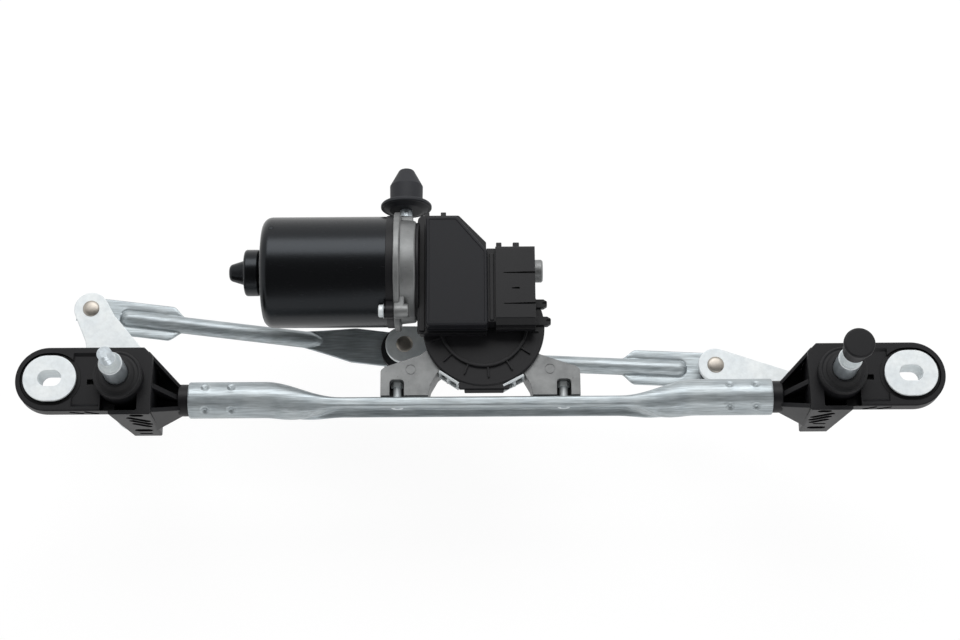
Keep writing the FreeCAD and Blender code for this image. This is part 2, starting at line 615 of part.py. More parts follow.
def gearbox():
    """Die-cast gearbox: bowl, worm tunnel, motor flange, plug arm and two feet."""
    body = new_body()
    centre = ("output_x", "output_y")
    motor = ("motor_y", "motor_z")
    neck_left = "can_right + ring_thickness + flange_thickness"
    neck_right = neck_left + " + neck_thickness"
    flange_left = "can_right + ring_thickness"
    pad(body, "XY", "bowl_back", "bowl_front - bowl_back", circle(*centre, "bowl_radius"))
    pad(body, "XY", "bowl_back - shaft_boss_length", "shaft_boss_length",
        circle(*centre, "shaft_boss_radius"))
    pad(body, "YZ", neck_left, "tunnel_right - (%s)" % neck_left, circle(*motor, "tunnel_radius"))
    pad(body, "YZ", "tunnel_right", "tunnel_cap_length", circle(*motor, "tunnel_cap_radius"))
    pad(body, "YZ", flange_left, "flange_thickness", circle(*motor, "flange_radius"))
    pad(body, "YZ", neck_left, "neck_thickness", circle(*motor, "neck_radius"))
    low, high = lug_place(1), lug_place(-1)
    for y, z in (low, high):
        pad(body, "YZ", flange_left, "flange_thickness + neck_thickness", circle(
            "motor_y + " + y, "motor_z + " + z, "lug_radius"))
    pad(body, "XY", "motor_z - plug_arm_width / 2", "plug_arm_width", rectangle(
        "plug_x - plug_arm_width / 2", "motor_y", "plug_x + plug_arm_width / 2", "plug_arm_top"))
    for sign in (-1, 1):
        pad(body, "XY", "foot_back", "bowl_front - foot_back", polygon(
            ("%d * foot_outer" % sign, TUBE_SEAT),
            ("%d * foot_outer" % sign, TUBE_SEAT + " + foot_height"),
            ("%d * foot_shoulder_x" % sign, "foot_shoulder_y"),
            ("%d * foot_shoulder_x / 2" % sign, "output_y"),
            ("%d * foot_shoulder_x / 2" % sign, "foot_shoulder_y - 4.5"),
            ("%d * (foot_inner - 4)" % sign, "foot_shoulder_y - 12.5"),
            ("%d * foot_inner" % sign, TUBE_SEAT)))
    # The bowl, the worm's bore, the brush chamber and the output bore are hollow.
    pocket(body, "XY", "bowl_front", "bowl_front - bowl_back - bowl_floor",
           circle(*centre, "bowl_radius - bowl_wall"))
    pocket(body, "XY", "bowl_back + bowl_floor", "bowl_floor + shaft_boss_length",
           circle(*centre, "output_bush_radius"))
    pocket(body, "YZ", "tunnel_right - tunnel_end_wall",
           "tunnel_right - tunnel_end_wall - (%s)" % flange_left,
           circle(*motor, "worm_bore_radius"))
    pocket(body, "YZ", neck_right + " - 4", "flange_thickness + neck_thickness - 4",
           circle(*motor, "24"))
    for sign in (-1, 1):
        middle = "%d * foot_window_x" % sign
        pocket(body, "XY", "bowl_front", "foot_window_depth", rectangle(
            middle + " - foot_window_width / 2", TUBE_SEAT + " - 1",
            middle + " + foot_window_width / 2", TUBE_SEAT + " + foot_window_height"))
    for y, z in (low, high):
        pocket(body, "YZ", flange_left, "flange_thickness + neck_thickness - 3", circle(
            "motor_y + " + y, "motor_z + " + z, "screw_radius"), reverse=True)
    stud_hole = cylinder("stud_radius", "plug_arm_top - motor_y - neck_radius + 2",
                         "plug_x", "motor_y + neck_radius - 2", "motor_z", ALONG_Y)
    screw_holes = []
    for sign in (-1, 1):
        screw_holes.append(cylinder("foot_screw_radius", "foot_height",
                                    "%d * foot_window_x" % sign, TUBE_SEAT, "tube_z", ALONG_Y))
    keep(cut(body, [stud_hole] + screw_holes), "gearbox_housing")


def box_outline(inset):
    """The electronics box seen from the front, moved inwards on every side."""
    across = "(box_right - box_chamfer_x)"
    up = "(box_high - box_chamfer_y)"
    slant = "sqrt(%s ^ 2 + %s ^ 2)" % (across, up)
    return polygon(
        ("box_left + %s" % inset, "box_low + %s" % inset),
        ("box_right - (%s)" % inset, "box_low + %s" % inset),
        ("box_right - (%s)" % inset,
         "box_chamfer_y - (%s) * (%s - %s) / %s" % (inset, slant, up, across)),
        ("box_chamfer_x - (%s) * (%s - %s) / %s" % (inset, slant, across, up),
         "box_high - (%s)" % inset),
        ("box_left + %s" % inset, "box_high - (%s)" % inset))


def cover_parts():
    """Cover disc with rings and ribs; its tray carries the electronics box."""
    body = new_body()
    front = "bowl_front + cover_thickness"
    pad(body, "XY", "bowl_front", "cover_thickness", circle("0", "0", "cover_radius"))
    rib = pad(body, "XY", front, "cover_ring_height - 0.2", rectangle(
        "cover_ring_radius", "-0.6", "cover_radius - 5", "0.6"))
    polar(body, rib, "cover_rib_count")
    pad(body, "XY", front, "cover_ring_height", circle("0", "0", "cover_ring_radius + 0.8"),
        circle("0", "0", "cover_ring_radius - 0.8"))
    pad(body, "XY", "bowl_front", "cover_thickness", rectangle(
        "-cover_radius / 3", "-cover_radius - 4.5", "cover_radius / 3", "-cover_radius + 8"))
    for low, high, reach in (("14.5", "19.5", "2"), ("2", "7", "4.5")):
        pad(body, "XY", "bowl_front", "cover_thickness", rectangle(
            "cover_radius - 6", low, "cover_radius + " + reach, high))
    # The disc stops short of the worm tunnel, and the tray passes over it.
    pocket(body, "XY", front + " + cover_ring_height", "cover_thickness + cover_ring_height", rectangle(
        "-cover_radius - 5", "motor_y - tunnel_radius - 1 - output_y",
        "cover_radius + 5", "cover_radius + 5"))
    place(body, "output_x", "output_y")
    tray = new_body()
    pad(tray, "XY", "-box_depth - tray_thickness", "tray_thickness", polygon(
        ("tray_left", "box_low"), ("box_right", "box_low"), ("box_right", "tray_chamfer_y"),
        ("tray_chamfer_x", "tray_high"), ("tray_left", "tray_high")))
    for start in ("tray_left + 4.6", "tray_left + 16.2"):
        pad(tray, "XY", "-box_depth - tray_thickness", "tray_thickness", rectangle(
            start, "tray_high - 1", start + " + tray_tab_width", "tray_high + tray_tab_height"))
    riser_low = front + " - 0.5"
    pad(tray, "XY", riser_low, "-box_depth - tray_thickness - (%s)" % riser_low, rectangle(
        "tray_left + 1.5", "box_low", "box_right", "motor_y - tunnel_radius - 2"))
    keep(fuse([body, tray]), "gear_cover")

    lid = new_body()
    pad(lid, "XY", "-box_depth", "box_depth", box_outline("0"))
    pocket(lid, "XY", "-box_depth", "box_depth - box_wall", box_outline("box_wall"), reverse=True)
    round_edges(lid, "1.5", lambda edge: edge.BoundBox.ZMin > -0.01)
    keep(lid, "electronics_lid")

    board = new_body()
    pad(board, "XY", "-box_depth", "board_thickness", box_outline("box_wall + 0.3"))
    keep(board, "circuit_board")


def connector_parts():
    """Plug socket block, open to the right, with moulded-in terminals."""
    body = new_body()
    depth = "connector_front - connector_back"
    pad(body, "XY", "connector_back", depth, rectangle(
        "connector_left", "connector_low", "connector_right", "connector_high"))
    pad(body, "XY", "connector_back", depth + " - 3", rectangle(
        "box_right", "connector_low + 3", "connector_left", "connector_high - 3"))
    foot_level = "bowl_front + cover_thickness + cover_ring_height"
    pad(body, "XY", foot_level, "connector_back - (%s)" % foot_level, rectangle(
        "connector_left", "connector_low + 1", "connector_left + 8",
        "output_y + cover_ring_radius - 1.5"))
    for start, end in (("0.6", "4.4"), ("12.1", "16.9")):
        pad(body, "XY", "connector_back + 6", "5", rectangle(
            "connector_left + " + start, "connector_high",
            "connector_left + " + end, "connector_high + connector_tab"))
    pocket(body, "YZ", "connector_right", "socket_depth", rectangle(
        "connector_low + connector_wall", "connector_back + connector_wall",
        "connector_high - connector_wall", "connector_front - connector_wall"))
    for middle, start, end in (("37.8", "5.9", "27.2"), ("15.4", "5.9", "27.2"),
                               ("26.5", "11.1", "16.6")):
        pocket(body, "XY", "connector_front", "connector_wall / 2", rectangle(
            "connector_left + " + start, "connector_low + %s - 0.7" % middle,
            "connector_left + " + end, "connector_low + %s + 0.7" % middle))
    keep(body, "connector_housing")

    pins = []
    pitch = "(connector_high - connector_low - 4 * connector_wall) / (terminal_count - 1)"
    for index in range(int(value("terminal_count"))):
        pins.append(cylinder(
            "terminal_radius", "terminal_length", "box_right + 1",
            "connector_low + 2 * connector_wall + %d * %s" % (index, pitch),
            "(connector_front + connector_back) / 2", ALONG_X))
    keep(group(pins), "connector_terminals")


def cover_clips():
    """Two spring clips hold the cover's lower rim on the bowl."""
    clips = []
    half = "clip_half_width"
    foot = "bowl_front - clip_reach"
    inner = "cover_radius + 0.2"
    outer = inner + " + clip_sheet"
    rim = "bowl_front + cover_thickness"
    for angle in (-124, -62):
        plate = box((inner, "-" + half, foot), (outer, half, rim + " + clip_sheet"))
        hook = box(("cover_radius - clip_hook", "-" + half, rim), (outer, half, rim + " + clip_sheet"))
        heel = box(("bowl_radius - 0.6", "-" + half, foot), (outer, half, foot + " + clip_sheet"))
        clip = cut(fuse([plate, hook, heel]),
                   [cylinder("bowl_radius", "bowl_front - bowl_back", "0", "0", "bowl_back")])
        clips.append(place(clip, "output_x", "output_y", "0", Z_AXIS, angle))
    keep(group(clips), "cover_clips")


def motor_parts():
    """Drawn steel can with magnets and brush gear around the armature."""
    can = new_body()
    screw_hole = "screw_radius + screw_gap"
    end = "can_left"
    cup_left = "can_left - bearing_cup_length"
    tip = cup_left + " - end_cap_length"
    pad(can, "YZ", end, "can_right - can_left", circle("0", "0", "can_radius"))
    round_edges(can, "can_corner", lambda edge: edge.BoundBox.XMax < value("can_left") + 0.1)
    low, high = lug_place(1), lug_place(-1)
    pad(can, "YZ", "can_right - 2", "2", strap(*low, "lug_radius", *high, "lug_radius"))
    revolve(can, polygon(
        (end + " + 1", "0"), (end + " + 1", "bearing_cup_radius"),
        (cup_left + " + 2", "bearing_cup_radius"), (cup_left, "bearing_cup_radius - 2"),
        (cup_left, "end_cap_radius"), (tip + " + 4", "end_cap_radius - 2"),
        (tip, "end_cap_radius / 2"), (tip, "0")))
    pocket(can, "YZ", "can_right", "can_right - can_left - can_corner",
           circle("0", "0", "can_radius - can_wall"))
    pocket(can, "YZ", "can_left + can_corner", "can_corner - can_wall",
           circle("0", "0", "can_radius - can_corner"))
    pocket(can, "YZ", "can_left + can_wall", "bearing_cup_length",
           circle("0", "0", "bearing_cup_radius - 4"))
    for y, z in (low, high):
        pocket(can, "YZ", "can_right", "2", circle(y, z, screw_hole))
    place(can, "0", "motor_y", "motor_z")
    keep(can, "motor_can")

    magnets = []
    length = "%s - %s + 8" % (CORE_RIGHT, CORE_LEFT)
    start_x = CORE_LEFT + " - 4"
    for first in ("-magnet_angle / 2", "180 - magnet_angle / 2"):
        shell = cylinder("can_radius - can_wall", length, start_x, "motor_y", "motor_z", ALONG_X)
        shell.setExpression("Angle", bound("magnet_angle"))
        shell.Placement = FreeCAD.Placement(
            shell.Placement.Base,
            FreeCAD.Rotation(Y_AXIS, 90).multiply(FreeCAD.Rotation(Z_AXIS, value(first))))
        hollow = cylinder("core_radius + magnet_gap", length, start_x, "motor_y", "motor_z", ALONG_X)
        magnets.append(cut(shell, [hollow]))
    keep(group(magnets), "field_magnets")

    holder = new_body()
    pad(holder, "YZ", "can_right", "ring_thickness", circle("0", "0", "ring_radius"))
    pad(holder, "YZ", "can_right", "ring_thickness", strap(*low, "lug_radius", *high, "lug_radius"))
    pocket(holder, "YZ", "can_right + ring_thickness", "ring_thickness", circle("0", "0", "13"))
    for y, z in (low, high):
        pocket(holder, "YZ", "can_right + ring_thickness", "ring_thickness", circle(y, z, screw_hole))
    place(holder, "0", "motor_y", "motor_z")
    keep(holder, "brush_holder")

    brushes = []
    for sign in (-1, 1):
        near = "motor_y + %d * (commutator_radius + 0.3)" % sign
        far = "motor_y + %d * 20" % sign
        low_y, high_y = (near, far) if sign > 0 else (far, near)
        brushes.append(box(("can_right - 7", low_y, "motor_z - 3"),
                           ("can_right", high_y, "motor_z + 3")))
    keep(group(brushes), "carbon_brushes")

    screws = []
    for y, z in (low, high):
        centre = ("motor_y + " + y, "motor_z + " + z)
        head = cylinder("screw_head_radius", "screw_head", "can_right - 2 - screw_head", *centre, ALONG_X)
        shank = cylinder("screw_radius", "screw_length", "can_right - 2", *centre, ALONG_X)
        screws.append(fuse([head, shank]))
    keep(group(screws), "can_screws")

    spots = (("can_left - bearing_cup_length + can_wall", "bearing_cup_radius - 4", "8"),
             ("tunnel_right - tunnel_end_wall - 7", "worm_bore_radius", "7"))
    bushes = []
    for x, radius, length in spots:
        bushes.append(cut(cylinder(radius, length, x, "motor_y", "motor_z", ALONG_X),
                          [cylinder("armature_shaft_radius + running_gap", length,
                                    x, "motor_y", "motor_z", ALONG_X)]))
    keep(group(bushes), "armature_bushes")


def worm_thread():
    """A right-hand thread along X in short straight steps, on the motor axis."""
    middle = value("output_x")
    pitch_radius = value("motor_y - output_y - wheel_pitch_radius")
    lead = 2 * math.pi * value("wheel_pitch_radius") / value("wheel_teeth")
    root = pitch_radius - value("wheel_dedendum") - 0.6
    crest = pitch_radius + value("wheel_addendum")
    halves = ((root, -value("worm_thread_root") / 2), (crest, -value("worm_thread_tip") / 2),
              (crest, value("worm_thread_tip") / 2), (root, value("worm_thread_root") / 2))
    steps_per_turn = 16
    steps = int(value("worm_turns")) * steps_per_turn
    rings = []
    for step in range(steps + 1):
        turns = (step - steps / 2) / steps_per_turn
        # At the park position a crest meets the wheel's side of the worm at its middle.
        angle = 2 * math.pi * turns + math.pi
        ring = []
        for radius, shift in halves:
            ring.append(FreeCAD.Vector(middle + lead * turns + shift, radius * math.cos(angle),
                                       radius * math.sin(angle)))
        rings.append(ring)
    faces = [Part.Face(Part.makePolygon(ring + [ring[0]])) for ring in (rings[0], rings[-1])]
    for now, after in zip(rings, rings[1:]):
        for index in range(4):
            following = (index + 1) % 4
            faces.append(Part.Face(Part.makePolygon(
                [now[index], now[following], after[following], now[index]])))
            faces.append(Part.Face(Part.makePolygon(
                [now[index], after[following], after[index], now[index]])))
    shell = Part.makeShell(faces)
    shell.sewShape()
    solid = Part.makeSolid(shell)
    if solid.Volume < 0:
        solid.reverse()
    return solid


def armature_parts():
    axis = FreeCAD.Vector(0, value("motor_y"), value("motor_z"))
    worm_root = value("motor_y - output_y - wheel_pitch_radius - wheel_dedendum")
    left = value("can_left - bearing_cup_length + can_wall + 0.5")
    right = value("tunnel_right - tunnel_end_wall - 0.5")
    journal = Part.makeCylinder(
        value("armature_shaft_radius"), right - left, FreeCAD.Vector(left, 0, 0), X_AXIS)
    half = math.pi * value("wheel_pitch_radius / wheel_teeth * worm_turns") + 3
    core_start = FreeCAD.Vector(value("output_x") - half, 0, 0)
    core = Part.makeCylinder(worm_root, 2 * half, core_start, X_AXIS)
    shaft = doc.addObject("Part::Feature", "ArmatureShaft")
    shaft.Shape = journal.fuse([core, worm_thread()])
    shaft.Placement = FreeCAD.Placement(axis, FreeCAD.Rotation())
    keep(shaft, "armature_shaft")

    def on_shaft(radius, start, end):
        length = "(%s) - (%s)" % (end, start)
        return cut(cylinder(radius, length, start, "motor_y", "motor_z", ALONG_X),
                   [cylinder("armature_shaft_radius", length, start, "motor_y", "motor_z", ALONG_X)])
    keep(on_shaft("core_radius", CORE_LEFT, CORE_RIGHT), "armature_core")
    keep(group([on_shaft("core_radius - 4", CORE_LEFT + " - 10", CORE_LEFT),
                on_shaft("core_radius - 4", CORE_RIGHT, CORE_RIGHT + " + 8")]), "armature_windings")
    keep(on_shaft("commutator_radius", CORE_RIGHT + " + 9", "can_right"), "commutator")


def output_parts():
    wheel = new_body()
    root = "wheel_pitch_radius - wheel_dedendum"
    tip = "wheel_pitch_radius + wheel_addendum"
    low = "motor_z - wheel_width / 2"
    pad(wheel, "XY", low, "wheel_width", circle("0", "0", root), circle("0", "0", "output_radius"))
    # Spaces between teeth face the worm, so a tooth stands half a pitch aside.
    tooth = pad(wheel, "XY", low, "wheel_width", polygon(
        (root + " - 0.5", "-wheel_tooth_root / 2"), (tip, "-wheel_tooth_tip / 2"),
        (tip, "wheel_tooth_tip / 2"), (root + " - 0.5", "wheel_tooth_root / 2")))
    polar(wheel, tooth, "wheel_teeth")
    hub_low = "bowl_back + bowl_floor + 0.5"
    pad(wheel, "XY", hub_low, low + " - (%s)" % hub_low,
        circle("0", "0", "output_radius + 5"), circle("0", "0", "output_radius"))
    # The worm lies a quarter turn from the wheel's first tooth.
    quarter = 90
    half_tooth = 180 / value("wheel_teeth")
    place(wheel, "output_x", "output_y", "0", Z_AXIS, quarter - half_tooth)
    keep(wheel, "worm_wheel")

    top = "motor_z + wheel_width / 2"
    tip_level = NUT_BACK + " + 0.5"
    shaft = turned((("0", tip_level), ("output_radius - 1", tip_level),
                    ("output_radius", tip_level + " + 1"), ("output_radius", top), ("0", top)))
    keep(place(shaft, "output_x", "output_y"), "output_shaft")

    boss_back = "bowl_back - shaft_boss_length"

    def collar(radius, bore, low, height):
        return cut(cylinder(radius, height, "output_x", "output_y", low),
                   [cylinder(bore, height, "output_x", "output_y", low)])
    keep(collar("output_bush_radius", "output_radius + running_gap", boss_back,
                "shaft_boss_length + bowl_floor"), "output_shaft_bush")
    keep(collar("output_radius + 4", "output_radius", "output_crank_top",
                boss_back + " - output_crank_top - washer_gap"), "output_washer")

    arm = new_body()
    pad(arm, "XY", CRANK_BACK, "output_crank_plate",
        strap("0", "0", "output_hub_radius", "crank_throw", "0", "output_pin_end_radius"),
        circle("0", "0", "output_radius"), circle("crank_throw", "0", "pin_stem_radius"))
    park = value("park_angle")
    keep(place(arm, "output_x", "output_y", "0", Z_AXIS, park), "motor_crank_arm")

    nut = doc.addObject("Part::Prism", "Nut")
    nut.Polygon = 6
    nut.setExpression("Circumradius", bound("output_radius * 1.75"))
    nut.setExpression("Height", bound("crank_nut_height"))
    place(nut, "output_x", "output_y", NUT_BACK)
    bore = cylinder("output_radius", "crank_nut_height", "output_x", "output_y", NUT_BACK)
    keep(cut(nut, [bore]), "crank_nut")

    head = cone("rivet_radius", "rivet_radius - 1.5", "rivet_height", z="output_crank_top")
    stem = cylinder("pin_stem_radius", "output_crank_top - (%s)" % NUT_BACK, z=NUT_BACK)
    keep(placed_at(fuse([head, stem]), CRANK_PIN), "crank_pin")


def placed_at(item, point, rotation=None):
    item.Placement = FreeCAD.Placement(point, rotation or FreeCAD.Rotation())
    return item


def spindle_parts(name, sign):
    """Spindle, crank arm, ball pin and the rings that hold the spindle in its housing."""
    axis = FreeCAD.Vector(sign * value(SPINDLE_X), 0, 0)
    towards = ROD_ENDS[name] - axis
    swing = FreeCAD.Rotation(Z_AXIS, math.degrees(math.atan2(towards.y, towards.x)))
    shaft = turned((
        ("0", PLATE_BACK + " - 1"), ("spindle_radius - 1", PLATE_BACK + " - 1"),
        ("spindle_radius", PLATE_BACK), ("spindle_radius", CONE_START),
        ("cone_tip_radius", THREAD_START), ("thread_radius", THREAD_START),
        ("thread_radius", THREAD_START + " + thread_length"),
        ("thread_radius - thread_point", SPINDLE_TIP), ("0", SPINDLE_TIP)))
    keep(placed_at(shaft, axis, swing), name + "_spindle_shaft")

    arm = new_body()
    pad(arm, "XY", PLATE_BACK, "crank_plate",
        strap("0", "0", "spindle_hub_" + name, "rocker_reach_" + name, "0", "pin_end_radius"),
        circle("0", "0", "spindle_radius"), circle("rocker_reach_" + name, "0", "pin_stem_radius"))
    keep(placed_at(arm, axis, swing), name + "_crank_arm")

    head = cone("rivet_radius", "rivet_radius - 1.5", "rivet_height", z=PLATE_TOP)
    stem = cylinder("pin_stem_radius", "%s - (%s)" % (PLATE_TOP, SPINDLE_BALL), z=SPINDLE_BALL)
    pin = fuse([head, stem, sphere("ball_radius", z=SPINDLE_BALL)])
    keep(placed_at(pin, ROD_ENDS[name]), name + "_ball_pin")

    rings = []
    for radius, low, height in (
            ("clip_radius", "column_top + washer_gap", "clip_thickness"),
            ("column_radius - 3", PLATE_TOP, "2 - washer_gap")):
        rings.append(cut(cylinder(radius, height, z=low), [cylinder("spindle_radius", height, z=low)]))
    keep(placed_at(group(rings), axis), name + "_spindle_rings")


def spindle_cap():
    """Push-on cap over the right spindle's thread."""
    top = SPINDLE_TIP + " + cap_rise"
    base = top + " - cap_length"
    under_head = top + " - cap_head"
    bore = "cone_tip_radius + cap_gap"
    cap = turned(((bore, base), ("cap_sleeve_radius", base), ("cap_sleeve_radius", under_head),
                  ("cap_radius", under_head), ("cap_radius", top + " - 1.2"),
                  ("cap_radius - 1.2", top), ("0", top),
                  ("0", SPINDLE_TIP + " + cap_gap"), (bore, SPINDLE_TIP + " + cap_gap")))
    keep(place(cap, SPINDLE_X), "right_spindle_cap")


def link_rod(name, motor_ball):
    """Rolled rod with flat ends, a moulded socket at each, and the motor end's ball."""
    start = FreeCAD.Vector(ROD_ENDS[name].x, ROD_ENDS[name].y, value(SPINDLE_BALL))
    end = FreeCAD.Vector(CRANK_PIN.x, CRANK_PIN.y, value(motor_ball))
    reach = (end - start).Length
    turn = math.degrees(math.atan2(end.y - start.y, end.x - start.x))
    tilt = math.degrees(math.asin((end.z - start.z) / reach))
    pose = FreeCAD.Rotation(Z_AXIS, turn).multiply(FreeCAD.Rotation(Y_AXIS, -tilt))
    far = "%.6f" % reach

    plates = new_body()
    half = "plate_half_width"
    pad(plates, "XY", "-rod_plate / 2", "rod_plate", circle("0", "0", half))
    pad(plates, "XY", "-rod_plate / 2", "rod_plate", polygon(
        ("0", "-" + half), ("plate_length", "-" + half),
        ("plate_length + plate_taper", "-rod_radius"), ("plate_length + plate_taper", "rod_radius"),
        ("plate_length", half), ("0", half)))
    wide = far + " - motor_plate_length"
    pad(plates, "XY", "-rod_plate / 2", "rod_plate", polygon(
        (wide + " - motor_plate_taper", "-rod_radius"), (wide, "-" + half), (far, "-" + half),
        (far, half), (wide, half), (wide + " - motor_plate_taper", "rod_radius")))
    emboss_end = far + " - motor_socket_radius - 8"
    rod = cylinder("rod_radius", emboss_end + " - emboss_start", "emboss_start", turn=ALONG_X)
    shape = fuse([plates, rod, sphere("rod_radius", "emboss_start"), sphere("rod_radius", emboss_end)])
    seats = [cylinder("spindle_socket_radius", "20", z="-10"),
             cylinder("motor_socket_radius", "30", far, "0", "-15")]
    keep(placed_at(cut(shape, seats), start, pose), name + "_link_rod")

    height = "spindle_socket_floor + spindle_socket_rim"
    cup = fuse([cylinder("spindle_socket_radius", height, z="-spindle_socket_floor"),
                cylinder("spindle_socket_flange", "spindle_socket_floor - rod_plate / 2",
                         z="-spindle_socket_floor")])
    cup = cut(cup, [sphere("ball_radius + ball_gap")])
    keep(placed_at(cup, start, pose), name + "_spindle_socket")

    deeper = "2" if name == "right" else "0"
    floor = "socket_half_height + %s" % deeper
    block = cylinder("motor_socket_radius", "2 * socket_half_height + %s" % deeper, z="-(%s)" % floor)
    socket = cut(block, [sphere("ball_radius + ball_gap")])
    keep(placed_at(socket, end, pose), name + "_motor_socket")

    slab = cylinder("ball_radius + 1", "2 * socket_half_height + %s" % deeper, z="-(%s)" % floor)
    ball = common(sphere("ball_radius"), slab)
    keep(placed_at(ball, end), name + "_motor_ball")


def foot_fasteners():
    """Screws rise through the tube into the feet, each with a nut in the foot's window."""
    screws, nuts = [], []
    under = TUBE_SEAT + " - 2 * flat_half_height + groove_depth"
    nut_height = "3.5"
    for sign in (-1, 1):
        x = "%d * foot_window_x" % sign
        head = cylinder("foot_screw_head_radius", "foot_screw_head", x,
                        under + " - foot_screw_head", "tube_z", ALONG_Y)
        shank = cylinder("foot_screw_radius", "2 * flat_half_height - groove_depth + foot_height - 3",
                         x, under, "tube_z", ALONG_Y)
        screws.append(fuse([head, shank]))
        nut = doc.addObject("Part::Prism", "Nut")
        nut.Polygon = 6
        nut.setExpression("Circumradius", bound("foot_window_width / 2 - 0.2"))
        nut.setExpression("Height", nut_height)
        level = TUBE_SEAT + " + foot_window_height - " + nut_height
        place(nut, x, level, "tube_z", **ALONG_Y)
        nuts.append(cut(nut, [cylinder("foot_screw_radius", nut_height, x, level, "tube_z", ALONG_Y)]))
    keep(group(screws), "foot_screws")
    keep(group(nuts), "foot_nuts")


def plug_parts():
    """Rubber locating plug on a steel stud above the motor."""
    base, body = "plug_base", "plug_base + plug_flange"
    flange = cylinder("plug_flange_radius", "plug_flange", "plug_x", base, "motor_z", ALONG_Y)
    barrel = cylinder("plug_radius", "plug_body", "plug_x", body, "motor_z", ALONG_Y)
    nose = cone("plug_radius", "plug_tip_radius", "plug_cone", "plug_x",
                body + " + plug_body", "motor_z", ALONG_Y)
    hole = cylinder("stud_radius", "plug_flange + plug_body", "plug_x", base, "motor_z", ALONG_Y)
    keep(cut(fuse([flange, barrel, nose]), [hole]), "locating_plug")
    foot = "motor_y + neck_radius - 2"
    stud = cylinder("stud_radius", "plug_base + plug_flange + plug_body - (%s)" % foot,
                    "plug_x", foot, "motor_z", ALONG_Y)
    collar = cylinder("stud_collar_radius", "plug_base - plug_arm_top", "plug_x",
                      "plug_arm_top", "motor_z", ALONG_Y)
    keep(fuse([stud, collar]), "plug_stud")


for side_name, side_sign in SIDES:
    mount_parts(side_name, side_sign)
    spindle_parts(side_name, side_sign)
bearing_parts()
frame_tube()
gearbox()
cover_parts()
connector_parts()
cover_clips()
motor_parts()
armature_parts()
output_parts()
spindle_cap()
link_rod("left", FIRST_BALL)
link_rod("right", SECOND_BALL)
foot_fasteners()
plug_parts()
doc.recompute()

faults = []
for item in doc.Objects:
    if "Invalid" in item.State or "Error" in item.State:
        faults.append("%s (%s): %s" % (item.Name, item.Label, item.State))
for piece in pieces:
    if piece.Shape.isNull() or not piece.Shape.isValid() or not piece.Shape.Solids:
        faults.append(piece.Label + ": no valid solid")
if faults:
    raise RuntimeError("\n".join(faults))

os.makedirs("parts", exist_ok=True)
for piece in pieces:
    piece.Shape.exportStep("parts/%s.step" % piece.Label)
print(len(pieces), "pieces written")
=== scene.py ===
import json
import math

import bmesh
import bpy
from mathutils import Matrix, Vector

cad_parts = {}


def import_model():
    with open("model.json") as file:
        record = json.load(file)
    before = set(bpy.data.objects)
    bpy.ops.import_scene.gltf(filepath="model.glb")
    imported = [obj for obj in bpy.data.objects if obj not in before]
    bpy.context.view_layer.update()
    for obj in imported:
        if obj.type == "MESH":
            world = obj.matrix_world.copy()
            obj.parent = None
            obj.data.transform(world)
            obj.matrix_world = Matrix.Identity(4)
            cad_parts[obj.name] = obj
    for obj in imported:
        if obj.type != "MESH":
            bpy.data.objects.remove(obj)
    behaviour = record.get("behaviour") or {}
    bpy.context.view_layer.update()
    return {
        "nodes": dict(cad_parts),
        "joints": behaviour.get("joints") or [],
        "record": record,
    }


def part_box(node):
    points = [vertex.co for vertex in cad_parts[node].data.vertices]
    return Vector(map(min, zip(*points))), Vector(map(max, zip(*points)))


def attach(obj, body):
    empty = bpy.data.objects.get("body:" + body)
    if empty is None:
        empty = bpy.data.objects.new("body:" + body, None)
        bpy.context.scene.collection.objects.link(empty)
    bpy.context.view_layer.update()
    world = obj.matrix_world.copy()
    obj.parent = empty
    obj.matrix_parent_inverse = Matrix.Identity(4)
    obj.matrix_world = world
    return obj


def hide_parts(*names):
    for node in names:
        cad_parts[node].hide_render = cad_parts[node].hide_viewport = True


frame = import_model()

# Pieces are built in millimetres in the part's frame and scaled when they are finished.
MM = 0.001
TO_X = Matrix(((0, 0, 1, 0), (1, 0, 0, 0), (0, 1, 0, 0), (0, 0, 0, 1)))
TO_Y = Matrix(((1, 0, 0, 0), (0, 0, 1, 0), (0, -1, 0, 0), (0, 0, 0, 1)))
MIRROR_X = Matrix.Diagonal((-1, 1, 1, 1))
SIDES = (("left", -1), ("right", 1))


def low(node):
    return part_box(node)[0] / MM


def high(node):
    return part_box(node)[1] / MM


def joint_at(name):
    found = next(joint for joint in frame["joints"] if joint["name"] == name)
    return Vector(found["pos_m"]) / MM


SPINDLE_X = joint_at("right_spindle_turn").x
OUTPUT = joint_at("motor_crank_turn")
MOTOR = joint_at("armature_turn")
PINS = {side: joint_at(side + "_rod_swing") for side, _ in SIDES}
CRANK_PIN = (low("crank_pin") + high("crank_pin")) / 2
COLUMN_TOP = low("left_spindle_seal").z
COLUMN_BOTTOM = low("left_bearing_housing").z
PLATE_TOP = high("left_crank_arm").z
PLATE_BACK = low("left_crank_arm").z
TUBE_Y, TUBE_Z, TUBE_R, TUBE_END = -6.0, -35.0, 12.5, high("frame_tube").x
SPINDLE_BALL_Z = PINS["left"].z
BALL_R, SOCKET_HALF = 8.0, 6.7
MOTOR_BALL_Z = {side: high(side + "_motor_ball").z - SOCKET_HALF for side, _ in SIDES}

# Camera
TILT = math.radians(19)
ROLL = math.radians(0.366)
AIM = Vector((0, math.cos(TILT), math.sin(TILT))) * 37.12 * MM
DISTANCE = 1287 * MM
FOCAL_PIXELS = 1914
IMAGE_WIDTH = 960
SENSOR_WIDTH = 36


